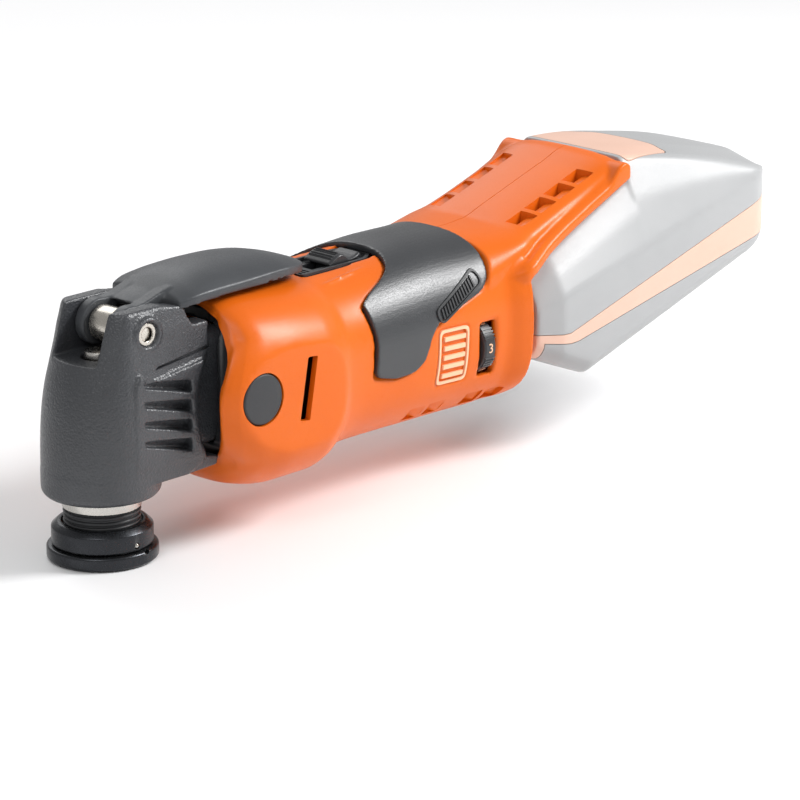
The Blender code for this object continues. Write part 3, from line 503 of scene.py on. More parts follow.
# ----------------------------------------
# Clamp plunger and spring. The lever's eccentric presses the plunger down to free the
# accessory, and a coil of round wire pushes it back; the plunger's head shows in the fork.
PLUNGER_HEAD = 64.4
plunger = turned("clamp_plunger_turned", ((0, 1.6), (5.2, 1.6), (5.6, 2.4), (5.6, 3.9), (2.3, 4.6),
                                          (2.3, PLUNGER_HEAD), (4.6, PLUNGER_HEAD), (4.6, 68.5), (0, 69.0)), "z",
                 (0, 0), steps=64)
fit(smooth(plunger), "plunger", "bright_steel", bright_steel, "clamp_plunger")

coil_tree, coil_in, coil_out = node_tree("wire_coil", (
    ("Turns", "Float", 3.0), ("Radius", "Float", 0.0036), ("Low", "Vector", (0, 0, 0)), ("Height", "Float", 0.004),
    ("Wire", "Float", 0.0005), ("Surface", "Material", None)))
coil_path = step_of(coil_tree, "GeometryNodeCurveSpiral", Resolution=32, Rotations=coil_in["Turns"],
                    Start_Radius=coil_in["Radius"], End_Radius=coil_in["Radius"], Height=coil_in["Height"])
coil_wire = step_of(coil_tree, "GeometryNodeCurvePrimitiveCircle", Resolution=10, Radius=coil_in["Wire"])
coil_skin = step_of(coil_tree, "GeometryNodeCurveToMesh", Curve=coil_path, Profile_Curve=coil_wire, Fill_Caps=True)
coil_place = step_of(coil_tree, "GeometryNodeTransform", Geometry=coil_skin, Translation=coil_in["Low"])
close_tree(coil_tree, coil_out, coil_in["Surface"], coil_place)
spring = grow("clamp_spring_coil", coil_tree, Turns=2.0, Radius=3.6 * MM, Height=1.7 * MM, Wire=0.4 * MM,
              Low=(spindle_x, 0, (PLUNGER_HEAD - 2.3) * MM), Surface=bright_steel)
fit(smooth(spring), "plunger", "bright_steel", bright_steel, "clamp_spring")

# ----------------------------------------
# Gear head. A die-cast aluminium case with a dark powder coat. It is an upright barrel with a
# fork at the top for the lever, cooling louvres on both cheeks, and a spigot to the housing.
HEAD_LEVELS = (  # height, front, half width, rear
    (26.6, 19.2, 19.3, 20.0), (31.4, 19.1, 19.3, 28.3), (36.0, 19.0, 19.3, 26.6), (42.0, 18.7, 19.3, 25.3),
    (50.6, 17.6, 19.2, 24.8), (57.0, 16.0, 18.9, 26.0), (62.0, 14.3, 18.3, 28.6), (66.5, 12.6, 17.7, 30.4),
    (71.0, 10.8, 17.2, 31.4), (75.0, 9.4, 16.8, 32.0),
)
EAR_LEVELS = (  # height, front, half width, rear
    (72.0, 10.4, 17.1, 26.4), (75.4, 9.2, 16.8, 25.0), (78.0, 8.2, 16.3, 23.4), (81.4, 6.9, 15.7, 22.3),
    (82.4, 6.4, 15.4, 16.0), (83.2, 5.9, 14.6, 13.0),
)
FORK_HALF, FORK_FLOOR = 10.0, 66.5
PIN_X, PIN_Z, PIN_RADIUS = 6.0, 75.5, 2.7
CHEEK = 19.5  # the louvred cheek stands this far from the middle


def along(table, x):
    """Every column of a table at any value of its first, on smooth curves that don't overshoot."""
    rows = np.array(table, float)
    at = rows[:, 0]
    x = min(max(x, at[0]), at[-1])
    k = min(int(np.searchsorted(at, x, side="right")) - 1, len(at) - 2)
    step = np.diff(at)
    rise = np.diff(rows[:, 1:], axis=0) / step[:, None]
    slope = np.zeros_like(rows[:, 1:])
    slope[0], slope[-1] = rise[0], rise[-1]
    same = rise[:-1] * rise[1:] > 0
    slope[1:-1][same] = (2 * rise[:-1] * rise[1:] / np.where(same, rise[:-1] + rise[1:], 1))[same]
    t = (x - at[k]) / step[k]
    return (
        (1 + 2 * t) * (1 - t) ** 2 * rows[k, 1:] + t * (1 - t) ** 2 * step[k] * slope[k]
        + t * t * (3 - 2 * t) * rows[k + 1, 1:] + t * t * (t - 1) * step[k] * slope[k + 1]
    )


def level_ring(table, z):
    """One level of the case: an elliptical nose, and straight cheeks back to the rear."""
    front, half, rear = along(table, z)
    ring = [(rear, -half, z)]
    for k in range(41):
        turn = math.pi * (0.5 + k / 40)
        ring.append((front * math.cos(turn), -half * math.sin(turn), z))
    return ring + [(rear, half, z)]


def together(name, *solids):
    """Several meshes joined in one object."""
    bpy.ops.object.select_all(action="DESELECT")
    for solid in solids:
        solid.select_set(True)
    bpy.context.view_layer.objects.active = solids[0]
    if len(solids) > 1:
        bpy.ops.object.join()
    solids[0].name = name
    return solids[0]


def whole(name, voxel, *solids):
    """Overlapping closed solids made one even skin."""
    made = together(name, *solids)
    modifier = made.modifiers.new("one_skin", "REMESH")
    modifier.mode, modifier.voxel_size = "VOXEL", voxel * MM
    return settle(made)


def soften(made, voxel, rounds):
    """Edges rounded as a mould or a casting leaves them, over about as many half voxels as there are rounds."""
    modifier = made.modifiers.new("even_skin", "REMESH")
    modifier.mode, modifier.voxel_size = "VOXEL", voxel * MM
    modifier = made.modifiers.new("round_edges", "SMOOTH")
    modifier.factor, modifier.iterations = 0.5, rounds
    return smooth(settle(made))


def both_sides(low, high):
    """The two spans across the tool that mirror each other."""
    return ((-high, -low), (low, high))


def side_prism(name, outline, side, near, far):
    """An outline seen from the side, stretched from near to far off the middle on one side."""
    low, high = sorted((side * near, side * far))
    return prism(name, outline, "y", low, high)


head_heights = np.linspace(26.6, 75.0, 50)
head_solids = [loft("head_block", [level_ring(HEAD_LEVELS, z) for z in head_heights])]
head_solids.append(loft("head_ears", [level_ring(EAR_LEVELS, z) for z in np.linspace(72.0, 83.2, 24)]))
head_solids.append(turned("head_barrel", ((0, 21.6), (17.9, 21.6), (19.3, 23.4), (19.3, 31.0), (0, 34.0)), "z",
                          (0, 0), 0.8))
chin = [(20.0, 26.4), (33.4, 27.0), (34.0, 30.0), (20.0, 33.0)]
head_solids.append(prism("head_chin", chin, "y", -18.6, 18.6))
spigot = [(-17.5, 33.0), (17.5, 33.0), (17.5, 72.0), (-17.5, 72.0)]
head_solids.append(prism("head_spigot", eased(spigot, 6.0), "x", 18.0, 38.0))
cheek = [(-1.5, 33.2), (26.9, 31.4), (25.4, 37.0), (24.6, 44.0), (24.4, 51.0), (25.4, 57.5), (27.9, 63.4),
         (3.5, 60.2), (0.5, 63.6), (-1.5, 60.0)]
for side in (-1, 1):
    head_solids.append(side_prism("head_cheek", cheek, side, 14.0, CHEEK))
    low, high = sorted((side * 12.0, side * 17.6))
    head_solids.append(rod("pin_boss", 5.6, low, high, "y", (PIN_X, PIN_Z), 0.6, 48))
gear_head = whole("gear_head_cast", 0.42, *head_solids)

row_tree, row_in, row_out = node_tree("row_of_copies", (
    ("Piece", "Object", None), ("Count", "Int", 4), ("Start", "Vector", (0, 0, 0)), ("Step", "Vector", (0, 0, 0)),
    ("Surface", "Material", None)))
row_line = step_of(row_tree, "GeometryNodeMeshLine", Count=row_in["Count"], Start_Location=row_in["Start"],
                   Offset=row_in["Step"])
row_piece = step_of(row_tree, "GeometryNodeObjectInfo", Object=row_in["Piece"])
row_copies = step_of(row_tree, "GeometryNodeInstanceOnPoints", Points=row_line,
                     Instance=row_piece.outputs["Geometry"])
close_tree(row_tree, row_out, row_in["Surface"], row_copies)


def row(name, one, count, step, surface=None):
    """Copies of a piece in a straight row, step millimetres apart, made one mesh; the piece is used up."""
    made = grow(name, row_tree, Piece=one, Count=count, Start=(0.0, 0.0, 0.0), Step=tuple(v * MM for v in step),
                Surface=surface)
    bpy.data.objects.remove(one)
    return made


def louvre(side):
    """One wedge pocket, its floor sinking towards the bottom and the rear."""
    out = side * 26.0
    mouth = [(1.2, out, 61.6), (22.6, out, 58.3), (22.6, out, 53.4), (1.6, out, 59.0)]
    pocket_floor = [(1.6, side * 19.0, 61.2), (21.6, side * 17.4, 57.8), (22.3, side * 14.6, 53.6),
                    (2.2, side * 17.6, 59.2)]
    return loft("louvre", [mouth, pocket_floor])


head_cuts = [prism("fork_slot", [(-30, FORK_FLOOR), (60, FORK_FLOOR), (60, 95), (-30, 95)], "y", -FORK_HALF, FORK_HALF)]
head_cuts.append(rod("pin_hole", PIN_RADIUS + 0.3, -30, 30, "y", (PIN_X, PIN_Z), steps=40))
for side, (low, high) in zip((-1, 1), both_sides(15.9, 30.0)):
    head_cuts.append(rod("pin_recess", 4.1, low, high, "y", (PIN_X, PIN_Z), steps=48))
    head_cuts.append(row("louvres", louvre(side), 4, (0, 0, -6.45)))
head_cuts.append(rod("plunger_hole", 5.7, 57.0, 70.0, "z", (0, 0), steps=48))
cut(gear_head, *head_cuts)
soften(gear_head, 0.41, 8)
groove = [(7.4, 63.7), (31.8, 66.2), (31.8, 67.6), (9.0, 64.7)]
hollows = [side_prism("head_groove", groove, side, 16.6, 26.0) for side in (-1, 1)]
hollows += [rod("low_bearing_seat", 13.3, 15, 31.4, "z", (0, 0), 0.1, 64),
            rod("high_bearing_seat", 9.5, 50, 58.9, "z", (0, 0), 0.1, 64),
            prism("rocker_chamber", [(-11.5, -13), (24, -13), (24, 13), (-11.5, 13)], "z", 31.0, 53.0),
            rod("motor_bore", 12, 22, 45, "x", (0, 47), 0.1, 64)]
cut(gear_head, *hollows)
powder_coat = finish("powder_coat", (0.034, 0.036, 0.041), (0.046, 0.049, 0.055), 0.36, metallic=0.1, grain=1300.0,
                     pitting=1.0, depth=0.0002, mottle=45.0, shine=0.8)
fit(smooth(gear_head), "housing", "cast_grey", powder_coat, "gear_head")

# ----------------------------------------
# Hinge. A ground pin through the fork's ears, held by a snap ring at each end, with a bright
# roller between the lever's two arms.
cross_steel = finish("cross_steel", (0.66, 0.62, 0.56), (0.52, 0.49, 0.44), 0.24, metallic=1.0, grain=1800.0,
                     pitting=0.1, turned_about=((PIN_X, 0, PIN_Z), "Y"))
PIN_HALF = 15.4
hinge_pin = turned("hinge_pin_ground", ((0, -PIN_HALF), (PIN_RADIUS - 0.1, -PIN_HALF),
                                        (PIN_RADIUS, -PIN_HALF + 0.6), (PIN_RADIUS, PIN_HALF - 0.6),
                                        (PIN_RADIUS - 0.1, PIN_HALF), (0, PIN_HALF)), "y", (PIN_X, PIN_Z), 0.5, 48)
fit(smooth(hinge_pin), "housing", "bright_steel", cross_steel, "hinge_pin")
BUSH_RADIUS, BUSH_HALF = 5.8, 4.9
hinge_bush = tube("hinge_roller", PIN_RADIUS + 0.3, BUSH_RADIUS, -BUSH_HALF, BUSH_HALF, "y", (PIN_X, PIN_Z), 0.6, 64)
fit(smooth(hinge_bush), "lever", "bright_steel", cross_steel, "hinge_bush")
for name, (low, high) in zip(("snap_ring_left", "snap_ring_right"), both_sides(15.8, 16.5)):
    ring = tube(name + "_wire", 2.3, 3.7, low, high, "y", (PIN_X, PIN_Z), 0.3, 48)
    fit(smooth(ring), "housing", "bright_steel", cross_steel, name)

# ----------------------------------------
# Clamp lever. A die-cast paddle with the same powder coat, arched across and along, whose two
# arms turn on the hinge pin and carry the roller.
LEVER_STATIONS = (  # x, half width, crown height, fall to the edge
    (9.6, 9.0, 82.4, 1.2), (14.0, 9.2, 84.0, 1.4), (18.8, 9.4, 85.3, 1.8), (20.6, 15.9, 86.0, 2.8),
    (27.0, 17.8, 88.2, 3.9), (34.0, 18.0, 89.3, 4.7), (44.0, 18.0, 89.7, 4.9), (55.0, 17.8, 89.3, 4.2),
    (66.0, 16.8, 88.0, 2.9), (74.0, 14.6, 86.2, 1.9), (79.0, 11.6, 84.7, 1.1), (82.0, 8.0, 83.6, 0.6),
    (83.6, 3.5, 83.0, 0.2),
)
LEVER_THICK, LEVER_ARM = 3.0, 9.4  # the skin, and how far each arm stands from the middle


def lever_ring(x):
    half, crown, fall = along(LEVER_STATIONS, x)
    across = [half * (k / 10 - 1) for k in range(21)]
    upper = [(x, y, crown - fall * abs(y / half) ** 2.6) for y in across]
    return upper + [(x, y, z - LEVER_THICK) for _, y, z in reversed(upper)]


lever_at = np.linspace(LEVER_STATIONS[0][0], LEVER_STATIONS[-1][0], 75)
lever_solids = [loft("lever_paddle", [lever_ring(x) for x in lever_at])]
bridge = [(8.6, 81.0), (12.0, 82.6), (17.0, 84.0), (24.0, 85.2), (24.0, 82.8), (16.0, 81.0), (11.0, 79.4)]
lever_solids.append(prism("lever_bridge", bridge, "y", -LEVER_ARM, LEVER_ARM))
for low, high in both_sides(BUSH_HALF + 0.4, LEVER_ARM):
    lever_solids.append(rod("lever_eye", 7.6, low, high, "y", (PIN_X, PIN_Z), 0.5, 64))
    web = [(PIN_X - 1.0, PIN_Z + 7.0), (PIN_X + 5.4, PIN_Z - 4.6), (23.0, 83.0), (23.0, 86.6), (12.0, 83.2)]
    lever_solids.append(prism("lever_web", web, "y", low, high))
clamp_lever = whole("clamp_lever_cast", 0.42, *lever_solids)
eye_hole = rod("eye_hole", PIN_RADIUS + 0.35, -12, 12, "y", (PIN_X, PIN_Z), 0.1, 40)
roller_room = rod("roller_room", 8.2, -BUSH_HALF - 0.3, BUSH_HALF + 0.3, "y", (PIN_X, PIN_Z), 0.1, 64)
cut(clamp_lever, eye_hole, roller_room)
soften(clamp_lever, 0.42, 5)
lever_coat = finish("lever_coat", (0.044, 0.047, 0.052), (0.056, 0.06, 0.066), 0.42, metallic=0.15, grain=2200.0,
                    pitting=0.3, depth=0.00008, mottle=40.0, worn=(0.2, 0.21, 0.22), wear=(0.54, 0.63))
fit(clamp_lever, "lever", "cast_grey", lever_coat, "clamp_lever")

# ----------------------------------------
# Housing. Two clamshell halves moulded in orange glass-filled nylon, with a deep flat-sided
# front round the motor, a waist for the hand and a hump at the rear that holds the battery rail.
BODY_STATIONS = (  # x, lowest, highest, half width, squareness
    (35.4, 25.0, 80.2, 28.6, 2.6), (38.4, 19.6, 81.0, 32.4, 2.6), (43.6, 15.8, 81.5, 34.6, 2.6),
    (55.0, 13.6, 81.0, 35.6, 2.6), (70.0, 13.6, 79.5, 35.2, 2.6), (76.0, 14.8, 78.8, 33.8, 2.6),
    (82.0, 17.6, 78.1, 31.6, 2.5), (92.0, 18.5, 78.0, 30.7, 2.5), (110.0, 18.3, 79.0, 30.3, 2.5),
    (130.0, 18.0, 80.0, 30.3, 2.5), (150.0, 18.0, 79.5, 30.7, 2.6), (157.0, 18.6, 79.5, 31.2, 2.7),
    (162.4, 19.4, 79.5, 33.5, 2.9), (166.6, 20.4, 79.3, 35.0, 3.0),
)
HUMP_STATIONS = (
    (150.0, 50.0, 79.0, 29.0, 2.5), (168.0, 65.9, 80.2, 28.6, 2.5), (176.0, 69.3, 82.7, 26.6, 2.2),
    (192.0, 76.0, 87.9, 25.4, 2.1), (208.0, 82.7, 93.0, 25.0, 2.1), (220.0, 87.7, 96.6, 24.8, 2.3),
    (222.4, 88.75, 96.4, 24.4, 2.4),
)
SIDE_FACET = 33.0  # the flat cheeks of the front part
FRONT_BULGE, BULGE_Z, BULGE_REACH = 11.5, 48.5, 21.0  # the rounded mouth reaches forward between these heights
BULGE_END, BULGE_RUN = 46.0, 12.0
WALL, SEAM = 2.2, 0.15
RAIL_X, RAIL_Z, RAIL_SLOPE = 168.0, 65.9, 0.42  # the slope that the pack slides along, under the hump


def section(table, x, proud, lower_squareness=None, facet=None):
    """A rounded section of the housing, raised or sunk by proud; its lower half can be squarer."""
    low, high, half, squareness = along(table, x)
    middle, height = (low + high) / 2, (high - low) / 2 + proud
    ring = []
    for k in range(96):
        turn = 2 * math.pi * (k + 0.5) / 96
        power = 2 / (lower_squareness if lower_squareness and math.sin(turn) < 0 else squareness)
        y = (half + proud) * math.copysign(abs(math.cos(turn)) ** power, math.cos(turn))
        z = middle + height * math.copysign(abs(math.sin(turn)) ** power, math.sin(turn))
        if facet:
            y = max(-facet - proud, min(facet + proud, y))
        fade = min(max((BULGE_END - x) / BULGE_RUN, 0.0), 1.0)
        reach = max(1 - ((z - BULGE_Z) / BULGE_REACH) ** 2, 0.0)
        ring.append((x - FRONT_BULGE * fade * reach, y, z))
    return ring


def body_solid(name, proud=0.0, start=35.4, end=166.6):
    at = np.concatenate([np.linspace(start, 90.0, 40), np.linspace(92.0, end, 40)])
    return loft(name, [section(BODY_STATIONS, x, proud, facet=SIDE_FACET if x < 100 else None) for x in at])


def rail_floor(x, below=0.0):
    return RAIL_Z + RAIL_SLOPE * (x - RAIL_X) - below


def grown(outline, by):
    """A counter-clockwise outline moved outwards by a distance."""
    moved = []
    for k, corner in enumerate(outline):
        before, here = Vector(outline[k - 1]), Vector(corner)
        after = Vector(outline[(k + 1) % len(outline)])
        first, second = (here - before).normalized(), (after - here).normalized()
        normals = Vector((first.y, -first.x)), Vector((second.y, -second.x))
        bisector = (normals[0] + normals[1]).normalized()
        moved.append(tuple(here + bisector * by / max(bisector.dot(normals[0]), 0.5)))
    return moved


def rectangle(x_low, x_high, z_low, z_high):
    return [(x_low, z_low), (x_high, z_low), (x_high, z_high), (x_low, z_high)]


hump_at = np.linspace(150.0, 222.4, 50)
shell_solids = [body_solid("housing_body")]
shell_solids.append(loft("housing_hump", [section(HUMP_STATIONS, x, 0.0, lower_squareness=9.0) for x in hump_at]))
RIM_STATIONS = ((154.0, 27.0), (160.0, 30.2), (166.6, 34.2), (172.0, 32.9), (180.0, 30.6), (192.0, 29.2), (208.0, 28.6),
                (223.2, 28.4))
rim_rings = []
for x in np.linspace(154.0, 223.2, 34):
    half, low = along(RIM_STATIONS, x)[0], rail_floor(x)
    rim_rings.append([(x, -half, low), (x, half, low), (x, half, low + 3.6), (x, half - 2.4, low + 5.2),
                      (x, -half + 2.4, low + 5.2), (x, -half, low + 3.6)])
shell_solids.append(loft("hump_rim", rim_rings))
lobe = eased([(208.0, 84.6), (223.2, 90.6), (223.2, 93.8), (220.8, 95.3), (217.8, 94.4), (213.6, 90.0)], 2.0)
for side in (-1, 1):
    shell_solids.append(side_prism("hump_lobe", lobe, side, 18.0, 28.4))
    ridge_rings = []
    for x in np.linspace(83.0, 113.0, 16):
        share = (x - 83.0) / 30.0
        lift = 1.5 * math.sin(math.pi * min(share * 1.15, 1.0)) ** 0.7
        middle, half_wide = side * (16.0 - 3.4 * share), 2.1 * (1 - 0.45 * share)
        top = 75.6 + 1.7 * share + lift
        ridge_rings.append([(x, middle - half_wide, 70.0), (x, middle + half_wide, 70.0), (x, middle, top)])
    shell_solids.append(loft("switch_ridge", ridge_rings))
shell = whole("housing_shell", 0.62, *shell_solids)

PLUG_X, PLUG_Z, PLUG_RADIUS = 40.5, 50.0, 8.4
DIAL_X, DIAL_Y, DIAL_Z = 148.0, -22.0, 44.0
SCREWS = ((45.5, 73.0), (45.5, 22.0), (126.0, 72.0), (114.5, 27.5), (157.0, 69.0), (157.0, 28.5))
GRIP_SIDE = [
    (93.2, 45.4), (103.7, 42.8), (112.5, 43.4), (116.6, 46.2), (120.0, 53.4), (123.2, 57.6), (145.8, 64.3),
    (149.6, 67.4), (151.8, 73.5), (152.0, 79.0), (151.0, 95.0), (88.0, 95.0), (88.4, 77.5), (92.4, 70.0), (94.6, 58.0),
]
TONGUE = [(78.0, -40.0), (87.8, -28.2), (96.5, -24.0), (107.0, -20.6), (112.4, -17.2), (115.8, -11.0), (116.8, -3.0),
          (116.8, 3.0), (115.8, 11.0), (112.4, 17.2), (107.0, 20.6), (96.5, 24.0), (87.8, 28.2), (78.0, 40.0)]
BADGE = eased([(123.4, 34.8), (138.6, 34.2), (139.4, 54.8), (124.2, 55.4)], 2.2)


def hump_skin(x, y):
    """Height of the hump's upper side."""
    low, high, half, squareness = along(HUMP_STATIONS, x)
    return (low + high) / 2 + (high - low) / 2 * max(1 - (y / half) ** squareness, 0.0) ** (1 / squareness)


def vent_wedge(side):
    """One of the hump's air slots: a wall along its upper edge, and a ramp that rises to the skin below it."""
    rings = []
    for x in (172.4, 180.4):
        upper, lower = hump_skin(x, 15.4), hump_skin(x, 21.6)
        rings.append([(x, side * 15.4, upper + 2.0), (x, side * 15.4, upper - 7.0), (x + 0.7, side * 17.4, upper - 7.0),
                      (x + 0.8, side * 17.6, upper - 2.2), (x + 1.8, side * 21.6, lower - 0.05),
                      (x + 1.8, side * 21.6, lower + 3.0)])
    return loft("vent_wedge", rings)


def floor_vent(side):
    """One of the scoops along the housing's lower edge, deep in front and running out to the rear."""
    rings = []
    for x, deep in ((115.6, 3.2), (123.4, 0.1)):
        ring = []
        for slide, out in ((-3.6, -deep), (3.6, -deep), (3.6, 5.0), (-3.6, 5.0)):
            ring.append((x, side * (22.8 + 0.7 * slide + 0.7 * out), 25.4 + 0.7 * slide - 0.7 * out))
        rings.append(ring)
    return loft("floor_vent", rings)


shell_cuts = []
grip_pocket = prism("grip_pocket", grown(GRIP_SIDE, 0.55), "y", -50, 50)
cut(grip_pocket, body_solid("pocket_floor", -1.1), prism("pocket_tongue", grown(TONGUE, -0.55), "z", 68.0, 120.0))
shell_cuts.append(grip_pocket)
crisp_cuts = []
for side in (-1, 1):
    crisp_cuts.append(rod("plug_seat", PLUG_RADIUS + 0.35, side * 27.0, side * 40.0, "y", (PLUG_X, PLUG_Z)))
    slot_outline = eased([(56.6, 39.2), (61.0, 38.6), (64.8, 59.6), (60.4, 60.0)], 0.7)
    crisp_cuts.append(side_prism("side_slot", slot_outline, side, 26.0, 40.0))
    crisp_cuts.append(row("hump_vents", vent_wedge(side), 4, (9.7, side * -0.15, 3.12)))
    for start in (0.0, 27.5):
        vents = row("floor_vents", floor_vent(side), 2, (9.6, 0, 0))
        vents.data.transform(Matrix.Translation((start * MM, 0, 0)))
        crisp_cuts.append(vents)
switch_bay = eased(rectangle(81.6, 118.8, -8.8, 8.8), 3.0)
shell_cuts.append(prism("switch_bay", switch_bay, "z", 70.0, 100.0))
shell_cuts.append(side_prism("dial_frame", eased(rectangle(143.2, 153.0, 33.0, 54.6), 1.2), -1, 30.3, 45.0))
shell_cuts.append(side_prism("dial_window", eased(rectangle(144.4, 151.8, 34.3, 53.3), 0.8), -1, 24.0, 45.0))
badge_bed = side_prism("badge_bed", BADGE, -1, 20.0, 45.0)
cut(badge_bed, body_solid("badge_floor", -0.7))
shell_cuts.append(badge_bed)
for x, z in SCREWS:
    crisp_cuts.append(rod("screw_well", 3.5, 14.0, 45.0, "y", (x, z), 0.1, 32))
cut(shell, *shell_cuts)
soften(shell, 0.6, 3)
cut(shell, *crisp_cuts, body_solid("inner_room", -WALL, start=33.0, end=163.0))

orange_nylon = finish("orange_nylon", (0.74, 0.138, 0.006), (0.7, 0.124, 0.005), 0.31, grain=3200.0, pitting=0.2,
                      mottle=22.0, shine=0.3)
for side, name in ((1, "housing_right"), (-1, "housing_left")):
    half_shell = placed(name + "_moulded", shell.data.copy())
    low, high = sorted((side * SEAM, side * -60.0))
    cut(half_shell, prism("other_half", rectangle(0, 240, 0, 120), "y", low, high))
    for x, z in SCREWS:
        reach = 24.0
        if side > 0:
            post = rod("screw_post", 4.6, SEAM, reach, "y", (x, z), 0.2, 32)
            cut(post, rod("post_bore", 1.9, -1, 40, "y", (x, z), 0.1, 24),
                rod("post_seat", 3.5, 14, 40, "y", (x, z), 0.1, 32))
        else:
            post = rod("screw_post", 4.0, -reach, -SEAM, "y", (x, z), 0.2, 32)
            cut(post, rod("post_bore", 1.9, -10, 1, "y", (x, z), 0.1, 24))
        trim(post, body_solid("post_trim", -1.2))
        add(half_shell, post)
    fit(smooth(half_shell), "housing", "orange_plastic", orange_nylon, name)
bpy.data.objects.remove(shell)

# ----------------------------------------
# Head damper. A black rubber frame between the casting and the housing that keeps the head's
# vibration out of the hand; it is pinched between the two halves.
damper = body_solid("damper_block", -2.6, start=35.4, end=60.0)
damper.data.transform(Matrix.Translation((3.2 * MM, 0, 0)))
spigot_hole = eased([(-17.8, 32.7), (17.8, 32.7), (17.8, 72.3), (-17.8, 72.3)], 6.0)
cut(damper, prism("damper_rear", rectangle(41.5, 100, 0, 120), "y", -60, 60),
    prism("damper_hole", spigot_hole, "x", 10.0, 80.0), prism("damper_room", rectangle(10.0, 33.5, 25.6, 90.0), "y",
                                                              -19.9, 19.9),
    prism("chin_room", [(10.0, 25.6), (34.7, 26.4), (34.7, 34.0), (10.0, 34.0)], "y", -19.0, 19.0),
    prism("lever_room", rectangle(10.0, 60.0, 76.0, 90.0), "y", -40.0, 40.0))
soften(damper, 0.5, 3)
damper_rubber = finish("damper_rubber", (0.012, 0.013, 0.015), (0.02, 0.021, 0.023), 0.4, grain=2600.0, pitting=0.25)
fit(damper, "housing", "grip_rubber", damper_rubber, "head_damper")

# ----------------------------------------
# Housing screws. Six steel screws with cross recesses, driven from the right through one half
# into posts in the other.
screw_steel = finish("screw_steel", (0.32, 0.32, 0.33), (0.24, 0.24, 0.25), 0.3, metallic=1.0, pitting=0.1)
one_screw = turned("one_screw", ((0, -8.0), (0.9, -8.0), (1.5, -6.6), (1.5, 14.3), (3.1, 14.3), (3.1, 16.0),
                                 (2.6, 16.6), (0, 16.7)), "y", (0, 0), 0.3, 40)
cut(one_screw, prism("recess_one", rectangle(-1.7, 1.7, -0.35, 0.35), "y", 15.2, 18.0),
    prism("recess_two", rectangle(-0.35, 0.35, -1.7, 1.7), "y", 15.1, 18.0))
one_screw.data.transform(Matrix.Translation((-spindle_x, 0, 0)))
points_tree, points_in, points_out = node_tree("copies_at_points", (
    ("Points", "Geometry", None), ("Piece", "Object", None), ("Surface", "Material", None)))
points_piece = step_of(points_tree, "GeometryNodeObjectInfo", Object=points_in["Piece"])
points_copies = step_of(points_tree, "GeometryNodeInstanceOnPoints", Points=points_in["Points"],
                        Instance=points_piece.outputs["Geometry"])
close_tree(points_tree, points_out, points_in["Surface"], points_copies)
screw_places = piece("screw_places", [(x, 0, z) for x, z in SCREWS], [])
screws = grow("housing_screws", points_tree, screw_places, Piece=one_screw, Surface=screw_steel)
bpy.data.objects.remove(one_screw)
fit(smooth(screws), "housing", "bright_steel", screw_steel, *[f"housing_screw_{k}" for k in range(1, 7)])

# ----------------------------------------
# Side plugs. Two round moulded caps, one on each side, that cover the ends of the head's
# damping mounts; each sits a hair below the flat cheek.
plug_plastic = finish("plug_plastic", (0.026, 0.027, 0.03), (0.033, 0.035, 0.038), 0.5, grain=3000.0, pitting=0.15)
for side, name in ((-1, "plug_left"), (1, "plug_right")):
    plug = turned(name + "_cap", ((0, side * 30.4), (PLUG_RADIUS, side * 30.4), (PLUG_RADIUS, side * 32.5),
                                  (PLUG_RADIUS - 0.5, side * 32.9), (0, side * 32.95)), "y", (PLUG_X, PLUG_Z), 0.4,
                  96)
    fit(smooth(plug), "housing", "black_plastic", plug_plastic, name)

# ----------------------------------------
# Soft grip. Matt rubber moulded over the waist in one wrap, proud of the nylon with a thin gap
# round its edge, and open at the top in front for the switch.
grip = body_solid("soft_grip", 1.25, start=80.0, end=160.0)
trim(grip, prism("grip_side", eased(GRIP_SIDE, 2.6), "y", -50, 50))
cut(grip, prism("grip_tongue", eased(TONGUE, 4.0), "z", 68.0, 120.0),
    body_solid("grip_inside", -1.0, start=78.0, end=162.0))
soften(grip, 0.42, 4)
soft_rubber = finish("soft_rubber", (0.024, 0.026, 0.029), (0.032, 0.034, 0.038), 0.34, grain=2200.0, pitting=0.4,
                     depth=0.00009, mottle=26.0, shine=0.7)
fit(grip, "housing", "grip_rubber", soft_rubber, "grip_left", "grip_right")

# Raised panel on the grip: a rounded frame with slanted ribs, moulded in one with the rubber.
strip_turn = math.atan2(10.4, 22.4)


def on_strip(u, v):
    """A point along and across the panel, as (x, z)."""
    return (134.6 + u * math.cos(strip_turn) - v * math.sin(strip_turn),
            64.7 + u * math.sin(strip_turn) + v * math.cos(strip_turn))


def strip_outline(half_long, half_high):
    corners = [(-half_long, -half_high), (half_long, -half_high), (half_long, half_high), (-half_long, half_high)]
    return eased([on_strip(u, v) for u, v in corners], half_high * 0.95)


panel = side_prism("grip_panel", strip_outline(12.4, 2.9), -1, 10.0, 50.0)
cut(panel, side_prism("panel_field", strip_outline(11.7, 2.2), -1, 5.0, 55.0))
rib = side_prism("panel_rib", [on_strip(u, v) for u, v in ((-10.6, -1.7), (-9.9, -1.7), (-9.0, 1.7), (-9.7, 1.7))],
                 -1, 10.0, 50.0)
rib_step = on_strip(1.5, 0.0)[0] - on_strip(0.0, 0.0)[0], on_strip(1.5, 0.0)[1] - on_strip(0.0, 0.0)[1]
panel_ribs = row("panel_ribs", rib, 13, (rib_step[0], 0, rib_step[1]))
for raised in (panel, panel_ribs):
    trim(raised, body_solid("panel_top", 1.75, start=100.0, end=160.0))
    cut(raised, body_solid("panel_base", 1.0, start=98.0, end=162.0))
add(panel, panel_ribs)
panel.name = "grip_panel_ribs"
panel_rubber = finish("panel_rubber", (0.02, 0.021, 0.023), (0.03, 0.031, 0.033), 0.5, grain=2800.0, pitting=0.2)
fit(smooth(panel), "housing", "grip_rubber", panel_rubber)

